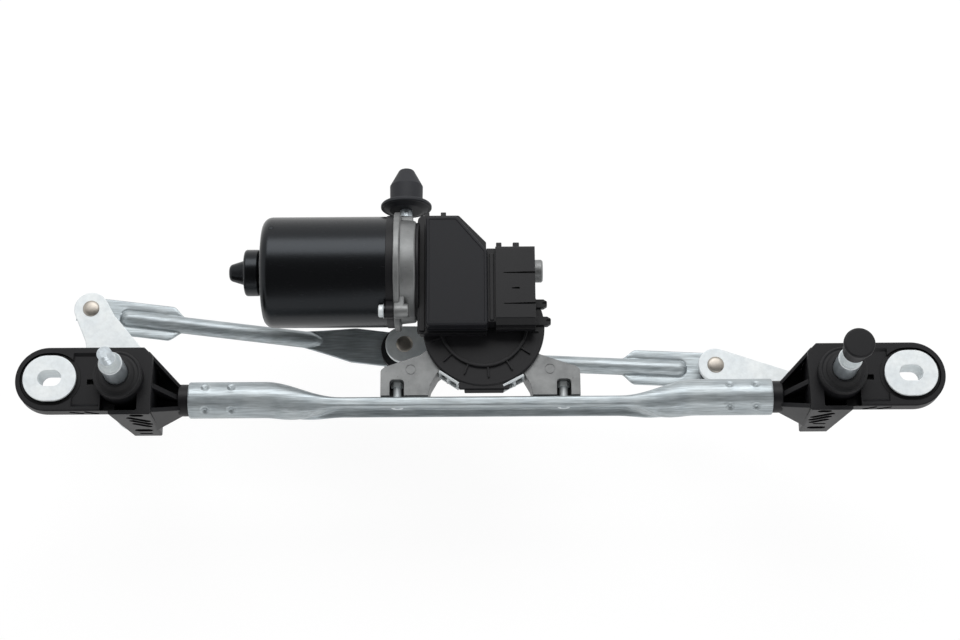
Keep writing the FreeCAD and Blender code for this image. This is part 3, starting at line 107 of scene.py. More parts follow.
def add_camera():
    data = bpy.data.cameras.new("camera")
    data.sensor_width = SENSOR_WIDTH
    data.lens = FOCAL_PIXELS * SENSOR_WIDTH / IMAGE_WIDTH
    data.clip_start = 0.05
    data.clip_end = 20
    camera = bpy.data.objects.new("camera", data)
    bpy.context.scene.collection.objects.link(camera)
    tilted = Matrix.Translation(AIM) @ Matrix.Rotation(TILT, 4, "X")
    camera.matrix_world = tilted @ Matrix.Translation((0, 0, DISTANCE)) @ Matrix.Rotation(-ROLL, 4, "Z")
    bpy.context.scene.camera = camera


# Materials
def scaled(colour, factor):
    return tuple(min(1.0, channel * factor) for channel in colour)


class Nodes:
    """Short calls for a material's node tree."""

    def __init__(self, name):
        self.material = bpy.data.materials.new(name)
        self.material.use_nodes = True
        self.tree = self.material.node_tree
        self.shader = self.tree.nodes["Principled BSDF"]
        self.place = self.tree.nodes.new("ShaderNodeTexCoord").outputs["Object"]

    def add(self, kind, **values):
        node = self.tree.nodes.new("ShaderNode" + kind)
        for key, value in values.items():
            if key in node.inputs:
                node.inputs[key].default_value = value
            else:
                setattr(node, key, value)
        return node

    def link(self, source, target):
        self.tree.links.new(source, target)

    def stretched(self, scale):
        mapping = self.add("Mapping", Scale=scale)
        self.link(self.place, mapping.inputs["Vector"])
        return mapping.outputs["Vector"]

    def noise(self, scale, detail, stretch=None):
        node = self.add("TexNoise", Scale=scale, Detail=detail, Roughness=0.55)
        self.link(self.stretched(stretch) if stretch else self.place, node.inputs["Vector"])
        return node.outputs["Fac"]

    def ramp(self, source, stops):
        node = self.add("ValToRGB")
        for element, (position, colour) in zip(node.color_ramp.elements, stops):
            element.position = position
            element.color = (*colour, 1)
        self.link(source, node.inputs["Fac"])
        return node.outputs["Color"]

    def mottle(self, source, colour, dark, light, start=0.3, end=0.7):
        """The colour, darker where the source is low and lighter where it is high."""
        return self.ramp(source, ((start, scaled(colour, dark)), (end, scaled(colour, light))))

    def span(self, source, start, end, from_low=0.0, from_high=1.0):
        node = self.add("MapRange")
        ends = {"From Min": from_low, "From Max": from_high, "To Min": start, "To Max": end}
        for key, value in ends.items():
            node.inputs[key].default_value = value
        self.link(source, node.inputs["Value"])
        return node.outputs["Result"]

    def mix(self, factor, first, second, blend="MIX"):
        node = self.add("Mix", data_type="RGBA", blend_type=blend)
        ends = [item for item in node.inputs if item.type == "RGBA"]
        for socket, value in zip(ends, (first, second)):
            if isinstance(value, tuple):
                socket.default_value = (*value, 1)
            else:
                self.link(value, socket)
        if isinstance(factor, float):
            node.inputs["Factor"].default_value = factor
        else:
            self.link(factor, node.inputs["Factor"])
        return next(item for item in node.outputs if item.type == "RGBA")

    def bump(self, height, distance):
        """Raise the surface by a height map, with the distance in millimetres."""
        node = self.add("Bump", Strength=1.0, Distance=distance * MM)
        self.link(height, node.inputs["Height"])
        self.link(node.outputs["Normal"], self.shader.inputs["Normal"])

    def sets(self, **values):
        for key, value in values.items():
            socket = self.shader.inputs[key.replace("_", " ")]
            if isinstance(value, bpy.types.NodeSocket):
                self.link(value, socket)
            elif isinstance(value, tuple):
                socket.default_value = (*value, 1)
            else:
                socket.default_value = value
        return self.material


def moulded(name, colour, roughness, grain=900.0, depth=0.03, dust=0.12, gloss=0.3):
    """Moulded plastic or rubber: fine grain, soft mottling and a trace of dust."""
    nodes = Nodes(name)
    broad = nodes.noise(35.0, 4.0)
    fine = nodes.noise(grain, 2.0)
    tint = nodes.mottle(broad, colour, 1 - dust, 1 + dust)
    specks = nodes.span(nodes.noise(1700.0, 1.0), 0.0, 0.5, 0.70, 0.80)
    tint = nodes.mix(specks, tint, scaled(colour, 2.2))
    nodes.bump(fine, depth)
    return nodes.sets(Base_Color=tint, Roughness=nodes.span(broad, roughness - 0.06, roughness + 0.06),
                      Specular_IOR_Level=gloss)


def plated(name, colour, roughness, streak, contrast, metallic):
    """Plated or galvanised steel: drawing streaks and cloudy patches."""
    nodes = Nodes(name)
    streaks = nodes.noise(1.0, 3.0, streak)
    clouds = nodes.noise(60.0, 5.0)
    tint = nodes.mottle(streaks, colour, 1 - contrast, 1 + contrast, 0.32, 0.68)
    shade = nodes.ramp(clouds, ((0.35, (0.86, 0.88, 0.90)), (0.65, (1.0, 1.0, 1.0))))
    tint = nodes.mix(1.0, tint, shade, "MULTIPLY")
    nodes.bump(streaks, 0.01)
    rough = nodes.span(clouds, roughness - 0.08, roughness + 0.1)
    return nodes.sets(Base_Color=tint, Metallic=metallic, Roughness=rough)


def painted_can():
    """Glossy black enamel with faint orange peel and fine scratches."""
    nodes = Nodes("can_paint")
    peel = nodes.noise(420.0, 2.0)
    scratches = nodes.span(nodes.noise(1.0, 2.0, (160.0, 2600.0, 2600.0)), 0.0, 1.0, 0.70, 0.78)
    tint = nodes.mix(scratches, (0.0035, 0.0036, 0.004), (0.02, 0.021, 0.023))
    nodes.bump(peel, 0.02)
    return nodes.sets(Base_Color=tint, Roughness=nodes.span(scratches, 0.27, 0.45),
                      Specular_IOR_Level=0.3, Specular_Tint=(0.85, 0.92, 1.0))


def cast_metal():
    """Die-cast aluminium: grey, slightly rough, with darker flow patches."""
    nodes = Nodes("cast_aluminium")
    clouds = nodes.noise(80.0, 6.0)
    grain = nodes.noise(1400.0, 2.0)
    tint = nodes.ramp(clouds, ((0.3, (0.165, 0.17, 0.171)), (0.7, (0.255, 0.261, 0.261))))
    pits = nodes.span(nodes.noise(500.0, 2.0), 0.0, 1.0, 0.68, 0.74)
    tint = nodes.mix(pits, tint, (0.14, 0.14, 0.14))
    nodes.bump(grain, 0.05)
    return nodes.sets(Base_Color=tint, Metallic=0.75, Roughness=nodes.span(grain, 0.42, 0.6))


def plain_metal(name, colour, roughness, metallic=1.0):
    """Bare or fired metal in soft patches."""
    nodes = Nodes(name)
    patches = nodes.noise(300.0, 4.0)
    tint = nodes.mottle(patches, colour, 0.82, 1.1)
    nodes.bump(nodes.noise(1500.0, 2.0), 0.012)
    return nodes.sets(Base_Color=tint, Metallic=metallic,
                      Roughness=nodes.span(patches, roughness - 0.06, roughness + 0.08))


def smooth_plastic(name, colour, roughness):
    """An even, slightly glossy moulding."""
    nodes = Nodes(name)
    patches = nodes.noise(120.0, 3.0)
    tint = nodes.mottle(patches, colour, 0.94, 1.04)
    nodes.bump(nodes.noise(700.0, 2.0), 0.01)
    return nodes.sets(Base_Color=tint, Roughness=nodes.span(patches, roughness - 0.05, roughness + 0.05))


MATERIALS = {
    "galvanised": plated("galvanised", (0.43, 0.47, 0.485), 0.42, (60.0, 900.0, 900.0), 0.26, 0.55),
    "zinc_plate": plated("zinc_plate", (0.84, 0.875, 0.88), 0.5, (300.0, 300.0, 300.0), 0.05, 0.3),
    "rivet_steel": plain_metal("rivet_steel", (0.40, 0.37, 0.33), 0.42),
    "machined_steel": plated("machined_steel", (0.56, 0.61, 0.64), 0.3, (700.0, 700.0, 2600.0), 0.1, 0.85),
    "can_paint": painted_can(),
    "cast_aluminium": cast_metal(),
    "black_plastic": moulded("black_plastic", (0.0085, 0.0085, 0.0098), 0.46, dust=0.08, gloss=0.24),
    "lid_plastic": moulded("lid_plastic", (0.0098, 0.0103, 0.0128), 0.5, 1300.0, 0.05, gloss=0.2),
    "socket_plastic": moulded("socket_plastic", (0.02, 0.02, 0.022), 0.42),
    "ball_plastic": smooth_plastic("ball_plastic", (0.74, 0.72, 0.66), 0.35),
    "wheel_plastic": smooth_plastic("wheel_plastic", (0.78, 0.75, 0.64), 0.35),
    "board_laminate": smooth_plastic("board_laminate", (0.02, 0.10, 0.04), 0.3),
    "rubber_black": moulded("rubber_black", (0.010, 0.010, 0.011), 0.62, 700.0),
    "rubber_grey": moulded("rubber_grey", (0.023, 0.0245, 0.029), 0.6, 800.0),
    "ferrite": plain_metal("ferrite", (0.06, 0.06, 0.06), 0.7, metallic=0.0),
    "copper": plain_metal("copper", (0.72, 0.33, 0.17), 0.35),
    "bronze": plain_metal("bronze", (0.48, 0.32, 0.15), 0.45),
    "carbon": plain_metal("carbon", (0.03, 0.03, 0.03), 0.6, metallic=0.0),
}


# Curves and outlines, in millimetres
def clamp(value):
    return min(1, max(0, value))


def eased(share):
    """A share from 0 to 1 with a soft start and end."""
    return share * share * (3 - 2 * share)


def turn_in(points, radius, steps=4, closed=True):
    """A polyline with its corners turned into arcs of the given radius, or of one for each corner."""
    count = len(points)
    radii = radius if isinstance(radius, (list, tuple)) else [radius] * count
    result = []
    for index, point in enumerate(points):
        here = Vector(point)
        if radii[index] <= 0 or (not closed and index in (0, count - 1)):
            result.append(here)
            continue
        before = Vector(points[index - 1]) - here
        after = Vector(points[(index + 1) % count]) - here
        half = before.angle(after) / 2
        if half > math.radians(89):
            result.append(here)
            continue
        reach = min(radii[index] / math.tan(half), before.length * 0.49, after.length * 0.49)
        size = reach * math.tan(half)
        centre = here + (before.normalized() + after.normalized()).normalized() * size / math.sin(half)
        start = here + before.normalized() * reach - centre
        end = here + after.normalized() * reach - centre
        sweep = start.angle_signed(end)
        for step in range(steps + 1):
            angle = -sweep * step / steps
            result.append(centre + Matrix.Rotation(angle, 2) @ start)
    return result


def circle(x, y, radius, steps=64):
    return [Vector((x + radius * math.cos(2 * math.pi * step / steps),
                    y + radius * math.sin(2 * math.pi * step / steps))) for step in range(steps)]


def rectangle(left, bottom, right, top, radius=0.0):
    return turn_in([(left, bottom), (right, bottom), (right, top), (left, top)], radius)


def strap(start, start_radius, end, end_radius, steps=24):
    """Two arcs joined by the lines that touch both."""
    start, end = Vector(start), Vector(end)
    span = end - start
    heading = math.atan2(span.y, span.x)
    lean = math.acos((start_radius - end_radius) / span.length)
    points = []
    for centre, radius, first, last in (
            (start, start_radius, heading + lean, heading - lean + 2 * math.pi),
            (end, end_radius, heading - lean, heading + lean)):
        for step in range(steps + 1):
            angle = first + (last - first) * step / steps
            points.append(centre + Vector((math.cos(angle), math.sin(angle))) * radius)
    return points


def racetrack(x, length, width, steps=24):
    half = (length - width) / 2
    return strap((x - half, 0), width / 2, (x + half, 0), width / 2, steps)


# Mesh helpers, in millimetres
def linked(mesh_data):
    """An object of the scene from mesh data, which is freed."""
    mesh = bpy.data.meshes.new("piece")
    mesh_data.to_mesh(mesh)
    mesh_data.free()
    piece = bpy.data.objects.new("piece", mesh)
    bpy.context.scene.collection.objects.link(piece)
    return piece


def make(mesh_data):
    bmesh.ops.remove_doubles(mesh_data, verts=mesh_data.verts, dist=1e-4)
    bmesh.ops.recalc_face_normals(mesh_data, faces=mesh_data.faces)
    return linked(mesh_data)


def moved(piece, matrix):
    piece.data.transform(matrix)
    if matrix.determinant() < 0:
        piece.data.flip_normals()
    return piece


def shifted(piece, x=0.0, y=0.0, z=0.0):
    return moved(piece, Matrix.Translation((x, y, z)))


def applied(piece):
    """Keep the result of a piece's modifiers as its mesh."""
    bpy.context.view_layer.update()
    mesh = bpy.data.meshes.new_from_object(piece.evaluated_get(bpy.context.evaluated_depsgraph_get()))
    piece.modifiers.clear()
    piece.data = mesh
    return piece


def bevelled(piece, width, segments=2, angle=35):
    modifier = piece.modifiers.new("Bevel", "BEVEL")
    modifier.width = width
    modifier.segments = segments
    modifier.limit_method = "ANGLE"
    modifier.angle_limit = math.radians(angle)
    return applied(piece)


def combined(piece, tools, operation):
    for tool in tools:
        modifier = piece.modifiers.new("Boolean", "BOOLEAN")
        modifier.operation = operation
        modifier.solver = "EXACT"
        modifier.object = tool
    applied(piece)
    for tool in tools:
        bpy.data.objects.remove(tool)
    return piece


def cut(piece, *tools):
    return combined(piece, tools, "DIFFERENCE")


def united(piece, *others):
    return combined(piece, others, "UNION")


def joined(parts):
    """One object of several closed shells."""
    mesh_data = bmesh.new()
    for part in parts:
        mesh_data.from_mesh(part.data)
        bpy.data.objects.remove(part)
    return linked(mesh_data)


def skin(mesh_data, rings, loop):
    """Faces between neighbouring rings of vertices. A ring may be one vertex many times over."""
    pairs = list(zip(rings, rings[1:]))
    if loop:
        pairs.append((rings[-1], rings[0]))
    for first, second in pairs:
        for index in range(len(first)):
            after = (index + 1) % len(first)
            corners = dict.fromkeys((first[index], first[after], second[after], second[index]))
            if len(corners) > 2:
                mesh_data.faces.new(list(corners))


def loft(rings, loop=False):
    """A skin over rings of equal numbers of points, capped unless it returns to the first."""
    mesh_data = bmesh.new()
    loops = [[mesh_data.verts.new(point) for point in ring] for ring in rings]
    skin(mesh_data, loops, loop)
    if not loop:
        mesh_data.faces.new(list(reversed(loops[0])))
        mesh_data.faces.new(loops[-1])
    return make(mesh_data)


def stepped(outlines):
    """A solid through outlines of equal numbers of points at rising levels."""
    return loft([[(point.x, point.y, level) for point in outline] for outline, level in outlines])


def prism(outline, bottom, top, edge=0.0, segments=2, angle=35):
    """An outline raised along Z, with its edges rounded."""
    piece = stepped(((outline, bottom), (outline, top)))
    return bevelled(piece, edge, segments, angle) if edge else piece


def block(start, end, edge=0.0):
    return prism(rectangle(start[0], start[1], end[0], end[1]), start[2], end[2], edge)


def lathe(profile, steps=72, loop=False):
    """A profile of (radius, height) points turned about Z."""
    mesh_data = bmesh.new()
    columns = []
    for radius, height in profile:
        if radius < 1e-6:
            columns.append([mesh_data.verts.new((0, 0, height))] * steps)
        else:
            columns.append([mesh_data.verts.new((point.x, point.y, height))
                            for point in circle(0, 0, radius, steps)])
    skin(mesh_data, columns, loop)
    return make(mesh_data)


def shaft(profile, radius=0.4, steps=72):
    """A turned solid from (radius, height) corners, which start and end on the axis."""
    return lathe(turn_in(profile, radius, 3, closed=False), steps)


def ring(profile, radius=0.3, steps=72):
    """A turned ring from a closed outline of (radius, height) corners."""
    return lathe(turn_in(profile, radius, 3), steps, loop=True)


def drum(radius, bottom, top, edge=0.4, steps=64):
    return shaft([(0, bottom), (radius, bottom), (radius, top), (0, top)], edge, steps)


def hole(radius, bottom, top, x=0.0, y=0.0, steps=64):
    """A tool that drills right through from bottom to top."""
    return shifted(drum(radius, bottom - 1, top + 1, 0, steps), x, y)


def shaded(piece, angle):
    """Smooth the mesh, with sharp edges past the angle in degrees."""
    mesh = piece.data
    mesh.polygons.foreach_set("use_smooth", [True] * len(mesh.polygons))
    mesh.set_sharp_from_angle(angle=math.radians(angle))
    # Large faces keep their own direction, and only their rounded edges blend.
    modifier = piece.modifiers.new("Flats", "WEIGHTED_NORMAL")
    modifier.keep_sharp = True
    modifier.weight = 80
    return applied(piece)


def finished(piece, name, body, slot, node, angle=32):
    """Scale a piece to metres, give it its finish and tie it to the frame."""
    piece.name = name
    piece.data.name = name
    piece.data.transform(Matrix.Scale(MM, 4))
    shaded(piece, angle)
    piece.data.materials.clear()
    piece.data.materials.append(MATERIALS[slot])
    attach(piece, body)
    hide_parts(node)


# Frame tube
TUBE_ROUND_FROM, TUBE_FLAT_TO = 148.0, 95.0
FLAT_HALF_WIDTH, FLAT_HALF_HEIGHT, FLAT_RISE, GROOVE = 13.5, 5.0, -0.7, 5.6
GROOVE_EDGE, GROOVE_FLANK = 0.84, 0.2
TUBE_BULGE, TUBE_WALL, TUBE_STEPS = 4.0, 1.5, 112
CRIMP_BACKS, CRIMP_TURNS, CRIMP_ZONE = (11.5, 29.5), (60, 140), 36
FINE_STEP, COARSE_STEP = 0.6, 3.0


def tube_point(station, angle, inset):
    """A point of the tube's section: a circle at the ends, a flat grooved oval in the middle."""
    share = clamp((TUBE_ROUND_FROM - abs(station)) / (TUBE_ROUND_FROM - TUBE_FLAT_TO))
    blend = eased(share)
    across, up = math.sin(angle), math.cos(angle)
    flat_z = (FLAT_HALF_WIDTH - inset) * math.copysign(abs(across) ** 0.8, across)
    flat_y = (FLAT_HALF_HEIGHT - inset) * math.copysign(abs(up) ** 0.45, up)
    if up < 0:
        flat_y += GROOVE * eased(clamp((GROOVE_EDGE - abs(flat_z) / FLAT_HALF_WIDTH) / GROOVE_FLANK))
    radius = TUBE_R - inset
    y = (1 - blend) * radius * up + blend * (FLAT_RISE - FLAT_HALF_HEIGHT + flat_y)
    y += TUBE_BULGE * (4 * share * (1 - share)) ** 2 * min(0, up)
    z = (1 - blend) * radius * across + blend * flat_z
    return Vector((station, TUBE_Y + y, TUBE_Z + z))


def crimp_depth(station, angle, crimps):
    """How far the crimps press the surface in, with a low rim round each."""
    depth = 0.0
    for centre, turn in crimps:
        gap = math.hypot(station - centre, TUBE_R * (angle - turn))
        depth += 2.0 * math.exp(-(gap / 1.9) ** 2) - 0.25 * math.exp(-((gap - 3.4) / 0.7) ** 2)
    return depth


def frame_tube():
    crimps = [(sign * (TUBE_END - back), math.radians(turn))
              for sign in (-1, 1) for back in CRIMP_BACKS for turn in CRIMP_TURNS]
    stations = []
    station = -TUBE_END
    while station < TUBE_END - 0.01:
        stations.append(station)
        station += FINE_STEP if TUBE_END - CRIMP_ZONE < abs(station + FINE_STEP / 2) else COARSE_STEP
    stations.append(TUBE_END)
    turns = [2 * math.pi * step / TUBE_STEPS for step in range(TUBE_STEPS)]
    outer, inner = [], []
    for station in stations:
        rounding = 0.3 * max(0, 1 - (TUBE_END - abs(station)) / FINE_STEP)
        outer.append([tube_point(station, angle, rounding + crimp_depth(station, angle, crimps))
                      for angle in turns])
        inner.append([tube_point(station, angle, TUBE_WALL) for angle in turns])
    finished(loft(outer + inner[::-1], loop=True), "tube", "body", "galvanised", "frame_tube", 50)


# Bearing housings
EAR_TOP, EAR_BACK = -2.5, -12.5
MOUNT_X = 290.0
EAR_R, EAR_END = 22.4, high("right_bearing_housing").x - 22.4
COLUMN_R = 16.5
NECK_END, COLLAR_R = TUBE_END + 7, 11.0
BLOCK_BOTTOM, BLOCK_SIDE = -69, 224.5
PANEL_FROM, PANEL_TO = 256.2, 275
# Profiles drawn as X and Z are raised towards -Y by this.
FACE = Matrix(((1, 0, 0, 0), (0, 0, -1, 0), (0, 1, 0, 0), (0, 0, 0, 1)))
SLOT_TOOL_END = 28


def side_slots(sign):
    """Holes and slanted slots in the lower side of the block and of the ear."""
    low_slots = ((-51, 3.4), (-61, 1.7)) if sign < 0 else ((-43.5, 1.6), (-55.5, 3.4))
    # Each row is a start, an end, a radius and the depth from the axis where the slot begins.
    rows = [((229.5, -6.9), (233, -6.9), 3.1, 23.2)]
    rows += [((230.5, level), (236.5, level), radius, 18.5) for level, radius in low_slots]
    rows += [((237, -14), (226.5, -23.5), 2.5, 21.6), ((236.3, -22.4), (226.5, -31.8), 2.5, 20.5),
             ((236, -31.2), (228, -39.0), 2.4, 19.5)]
    rows += [((258, -10), (265, -5.5), 1.4, 20.3), ((268, -9.5), (275, -6), 1.3, 20.3)]
    return [moved(prism(strap(start, radius, end, radius, 10), depth, SLOT_TOOL_END), FACE)
            for start, end, radius, depth in rows]


def neck_rib(block_y, collar_y, width, low_end=-60):
    """A rib from the block's side to the collar."""
    half = width / 2
    near = [(NECK_END - 1.5, TUBE_Y + collar_y + side * half, TUBE_Z + level)
            for side, level in ((-1, -7.5), (1, -7.5), (1, 7.5), (-1, 7.5))]
    far = [(BLOCK_SIDE, block_y + side * half, level)
           for side, level in ((-1, low_end), (1, low_end), (1, -4.5), (-1, -4.5))]
    return bevelled(loft([near, far]), 0.5)


def neck_web():
    """The flat web that joins the neck's ribs."""
    near = [(NECK_END - 1, TUBE_Y + y, TUBE_Z + z) for y, z in ((-8, -2.5), (7, -2.5), (7, 2.5), (-8, 2.5))]
    far = [(BLOCK_SIDE, y, z) for y, z in ((-22, -42), (18, -42), (18, -37), (-22, -37))]
    return loft([near, far])


def housing_pockets():
    """A pit beside the column, a shelf and a shallow panel beside the isolator, and a notch."""
    pit = stepped(((rectangle(232.5, -18.5, 246, 0, 1), -28), (rectangle(230.7, -22.3, 247.5, 0, 1.2), -1)))
    shelf = prism(rectangle(246, -22.3, 255.6, 0, 0.8), EAR_TOP - 8, 0)
    panel = stepped(((rectangle(PANEL_FROM, -17.4, PANEL_TO, 16.4, 0.5), EAR_TOP - 2.0),
                     (rectangle(PANEL_FROM, -20.4, PANEL_TO, 19.4, 0.5), EAR_TOP + 1)))
    notch = prism(rectangle(257.5, -3.5, 265.4, 0.3, 0.4), EAR_TOP - 6, 0)
    return pit, shelf, panel, notch


def housing(name, sign):
    """The right housing, or its mirror image: ear, column, block, ribbed neck and stub."""
    ear = prism(strap((SPINDLE_X + 8, 0), EAR_R, (EAR_END, 0), EAR_R, 40), EAR_BACK, EAR_TOP, 0.9, 3)
    foot_outline = turn_in([(223.6, -21.6), (243.4, -21.6), (243.4, 15), (228, 15), (223.6, 12)], 0.8, 2)
    top_outline = turn_in([(221.5, -25), (250, -25), (250, 22.3), (227.5, 22.3), (221.5, 16.3)], 0.8, 2)
    walls = bevelled(stepped(((foot_outline, BLOCK_BOTTOM), (top_outline, EAR_TOP - 0.05))), 0.7)
    body = cut(united(walls, ear), *housing_pockets())
    bottom, top = COLUMN_BOTTOM, COLUMN_TOP
    column = shaft([(0, bottom), (14.2, bottom), (COLUMN_R, -30), (COLUMN_R, top), (0, top)], 0.6, 80)
    body = united(body, shifted(column, SPINDLE_X))
    ribs = [neck_rib(18.6, 7.2, 3.2), neck_rib(-2.5, -1.0, 3.6), neck_rib(-21.6, -7.6, 3.2, -50)]
    along = TO_X @ Matrix.Translation((TUBE_Y, TUBE_Z, 0))
    start = TUBE_END - 0.1
    collar = shaft([(0, start), (COLLAR_R, start), (COLLAR_R, NECK_END), (0, NECK_END)], 0.5, 64)
    stub = drum(COLLAR_R - 0.5, 172, 204, 0.5)
    body = united(body, *ribs, neck_web(), moved(collar, along), moved(stub, along))
    isolator_hole = prism(racetrack(MOUNT_X, 41, 37, 40), EAR_BACK - 25, EAR_TOP + 1)
    bore = shaft([(0, bottom - 1), (10.5, bottom - 1), (10.5, bottom + 14), (9, bottom + 14), (9, top - 14),
                  (10.5, top - 14), (10.5, top + 1), (0, top + 1)], 0, 64)
    body = cut(body, isolator_hole, *side_slots(sign))
    body = cut(body, shifted(bore, SPINDLE_X))
    if sign < 0:
        moved(body, MIRROR_X)
    finished(body, name + "_housing", "body", "black_plastic", name + "_bearing_housing", 30)


def mounts(name, sign):
    """Slotted washer with its tube, the rubber isolator round it, and the washer behind."""
    centre = sign * MOUNT_X

    def slot():
        return prism(racetrack(centre, 16, 11, 20), -20, 3)

    washer = prism(racetrack(centre, 36, 32, 48), -2, 0, 0.4, 3)
    tube = prism(racetrack(centre, 20, 15, 24), -15, -1.5)
    sleeve = bevelled(cut(united(washer, tube), slot()), 0.25, 2, 60)
    finished(sleeve, name + "_sleeve", "body", "zinc_plate", name + "_mount_sleeve")
    rubber = prism(racetrack(centre, 40.9, 36.9, 40), EAR_BACK, -4.2, 0.6)
    lip = prism(racetrack(centre, 34.6, 30.6, 40), -15, -2.02, 0.3)
    rubber = cut(united(rubber, lip), prism(racetrack(centre, 20.1, 15.1, 24), -20, 3))
    finished(rubber, name + "_isolator", "body", "rubber_black", name + "_rubber_isolator")
    plate = cut(prism(racetrack(centre, 34, 30, 40), -17, -15, 0.3), slot())
    finished(plate, name + "_backplate", "body", "zinc_plate", name + "_mount_backplate")


def seal(name, sign):
    """Rubber cap on the column: a dished disc with a lip round the spindle."""
    base, top = COLUMN_TOP, high("left_spindle_seal").z
    profile = [(8.35, top), (9.9, top - 0.1), (11.6, base + 4.5), (12.2, base + 3.5), (14.0, base + 2.7),
               (14.8, base + 3.2), (16.1, base + 3.2), (16.3, base), (11.6, base), (11.6, base + 2.2),
               (8.35, base + 2.2)]
    radii = [0.3, 0.5, 1.0, 0.8, 0.8, 0.6, 1.3, 0.1, 0.1, 0.2, 0.2]
    piece = shifted(ring(profile, radii, 96), sign * SPINDLE_X)
    finished(piece, name + "_seal", "body", "rubber_black", name + "_spindle_seal", 40)


# Spindles and crank arms
CONE_START, THREAD_START, THREAD_END = 31.5, 41.5, 52.0
SHAFT_R, BORE_R, CONE_TOP_R, PIN_R = 7.98, 8, 5.3, 5
TEETH, TOOTH_DEPTH, TOOTH_SHAPE = 46, 0.85, (0.0, 0.8, 1.0, 0.8)
THREAD_R, THREAD_PITCH, THREAD_DEPTH, THREAD_TIP = 4.99, 1.5, 0.62, 1.9
THREAD_ROW, THREAD_STEPS = 0.165, 64
HUB_R = {"left": 16.6, "right": 15.5}
ARM_END_R = 12.3
# Parts that touch overlap by this much, so that no gap shows.
OVERLAP = 0.02


def around(radii, height):
    """A ring of points about Z at one height, with a radius for each point."""
    turn = 2 * math.pi
    count = len(radii)
    return [(radius * math.cos(turn * step / count), radius * math.sin(turn * step / count), height)
            for step, radius in enumerate(radii)]


def ball_arc(radius, level, first, last, steps):
    """Profile points of a ball on the axis, between two angles from its top."""
    angles = [first + (last - first) * step / steps for step in range(steps + 1)]
    return [(radius * math.sin(angle), level + radius * math.cos(angle)) for angle in angles]


def serrated_cone():
    reach = THREAD_START - CONE_START
    rows = []
    for along, share in ((0, 0), (0.5, 0), (0.9, 1), (0.9 * reach, 1), (0.95 * reach, 0), (reach, 0)):
        base = SHAFT_R + (CONE_TOP_R - SHAFT_R) * along / reach
        radii = [base - TOOTH_DEPTH * share * depth for _ in range(TEETH) for depth in TOOTH_SHAPE]
        rows.append(around(radii, CONE_START - OVERLAP + along))
    return loft(rows)


def thread():
    """The thread above the cone: its groove fades in and out, and its tip tapers."""
    start = THREAD_START - OVERLAP
    rows = []
    height = start
    while height < THREAD_END + THREAD_TIP:
        fade = clamp(min((height - start) / 1.2, (THREAD_END - 0.4 - height) / 0.8))
        taper = max(0, height - THREAD_END)
        radii = []
        for step in range(THREAD_STEPS):
            phase = (height / THREAD_PITCH - step / THREAD_STEPS) % 1
            groove = THREAD_DEPTH * clamp(1.25 - abs(phase - 0.5) * 2.6) * fade
            radii.append(THREAD_R - groove - taper)
        rows.append(around(radii, height))
        height += THREAD_ROW
    return loft(rows)


def crank_arm(name, axis):
    """A spindle's crank arm with its ball pin. The left one has a cheek beside it."""
    pin = PINS[name]
    outline = strap((axis, 0), HUB_R[name], (pin.x, pin.y), ARM_END_R, 40)
    arm = prism(outline, PLATE_BACK, PLATE_TOP, 0.7, 3)
    if name == "left":
        cheek = turn_in([(-285.2, 62), (-281.0, 40), (-263.5, -2), (-225, 0), (-238.2, 32), (-244.2, 47),
                         (-252.8, 57), (-268.5, 76)], 14, 6)
        arm = united(arm, prism(cheek, PLATE_BACK + 0.01, PLATE_TOP - 0.01, 0.6))
    arm = cut(arm, hole(BORE_R, PLATE_BACK, PLATE_TOP, axis),
              hole(PIN_R, PLATE_BACK, PLATE_TOP, pin.x, pin.y))
    finished(arm, name + "_arm", name + "_spindle", "zinc_plate", name + "_crank_arm")
    rivet(name + "_pin", name + "_spindle", pin, PLATE_TOP, SPINDLE_BALL_Z, name + "_ball_pin")


def spindle(name, sign):
    axis, body, node = sign * SPINDLE_X, name + "_spindle", name + "_spindle_shaft"
    core = shaft([(0, PLATE_BACK - 1), (6.6, PLATE_BACK - 1), (SHAFT_R, PLATE_BACK), (SHAFT_R, CONE_START),
                  (0, CONE_START)], 0.3, 72)
    finished(shifted(serrated_cone(), axis), name + "_cone", body, "zinc_plate", node, 20)
    finished(shifted(joined([core, thread()]), axis), name + "_spindle", body, "machined_steel", node, 28)
    crank_arm(name, axis)
    # A clip above the column and a thrust washer under it.
    sizes = ((11, COLUMN_TOP + 0.3, COLUMN_TOP + 1.5), (13.5, PLATE_TOP, PLATE_TOP + 1.7))
    rings = [ring([(BORE_R, start), (radius, start), (radius, end), (BORE_R, end)])
             for radius, start, end in sizes]
    finished(shifted(joined(rings), axis), name + "_rings", body, "zinc_plate", name + "_spindle_rings")


def rivet(name, body, place, top, end, node):
    """Domed rivet head on a pin, which ends in a ball about the level end or plainly at it."""
    profile = [(0, top + 1.8), (2.6, top + 1.72), (4.2, top + 1.45), (5.3, top + 1.0), (5.9, top + 0.4),
               (5.95, top), (PIN_R, top)]
    if node == "crank_pin":
        profile += [(PIN_R, end), (0, end)]
    else:
        profile += ball_arc(BALL_R, end, math.asin(PIN_R / BALL_R), math.pi, 12)
    finished(shifted(lathe(profile, 56), place.x, place.y), name, body, "rivet_steel", node, 40)


def cap():
    base, top = low("right_spindle_cap").z, high("right_spindle_cap").z
    tip = high("right_spindle_shaft").z + 0.3
    profile = [(0, tip), (5.65, tip), (5.65, base), (8.1, base), (8.3, top - 3.9), (10.2, top - 3.3),
               (10.2, top - 0.9), (9.3, top), (0, top)]
    radii = [0, 0.2, 0.2, 0.5, 0.4, 0.5, 0.8, 1.0, 0]
    piece = lathe(turn_in(profile, radii, 4, closed=False), 80)
    finished(shifted(piece, SPINDLE_X), "spindle_cap", "right_cap", "black_plastic", "right_spindle_cap", 35)


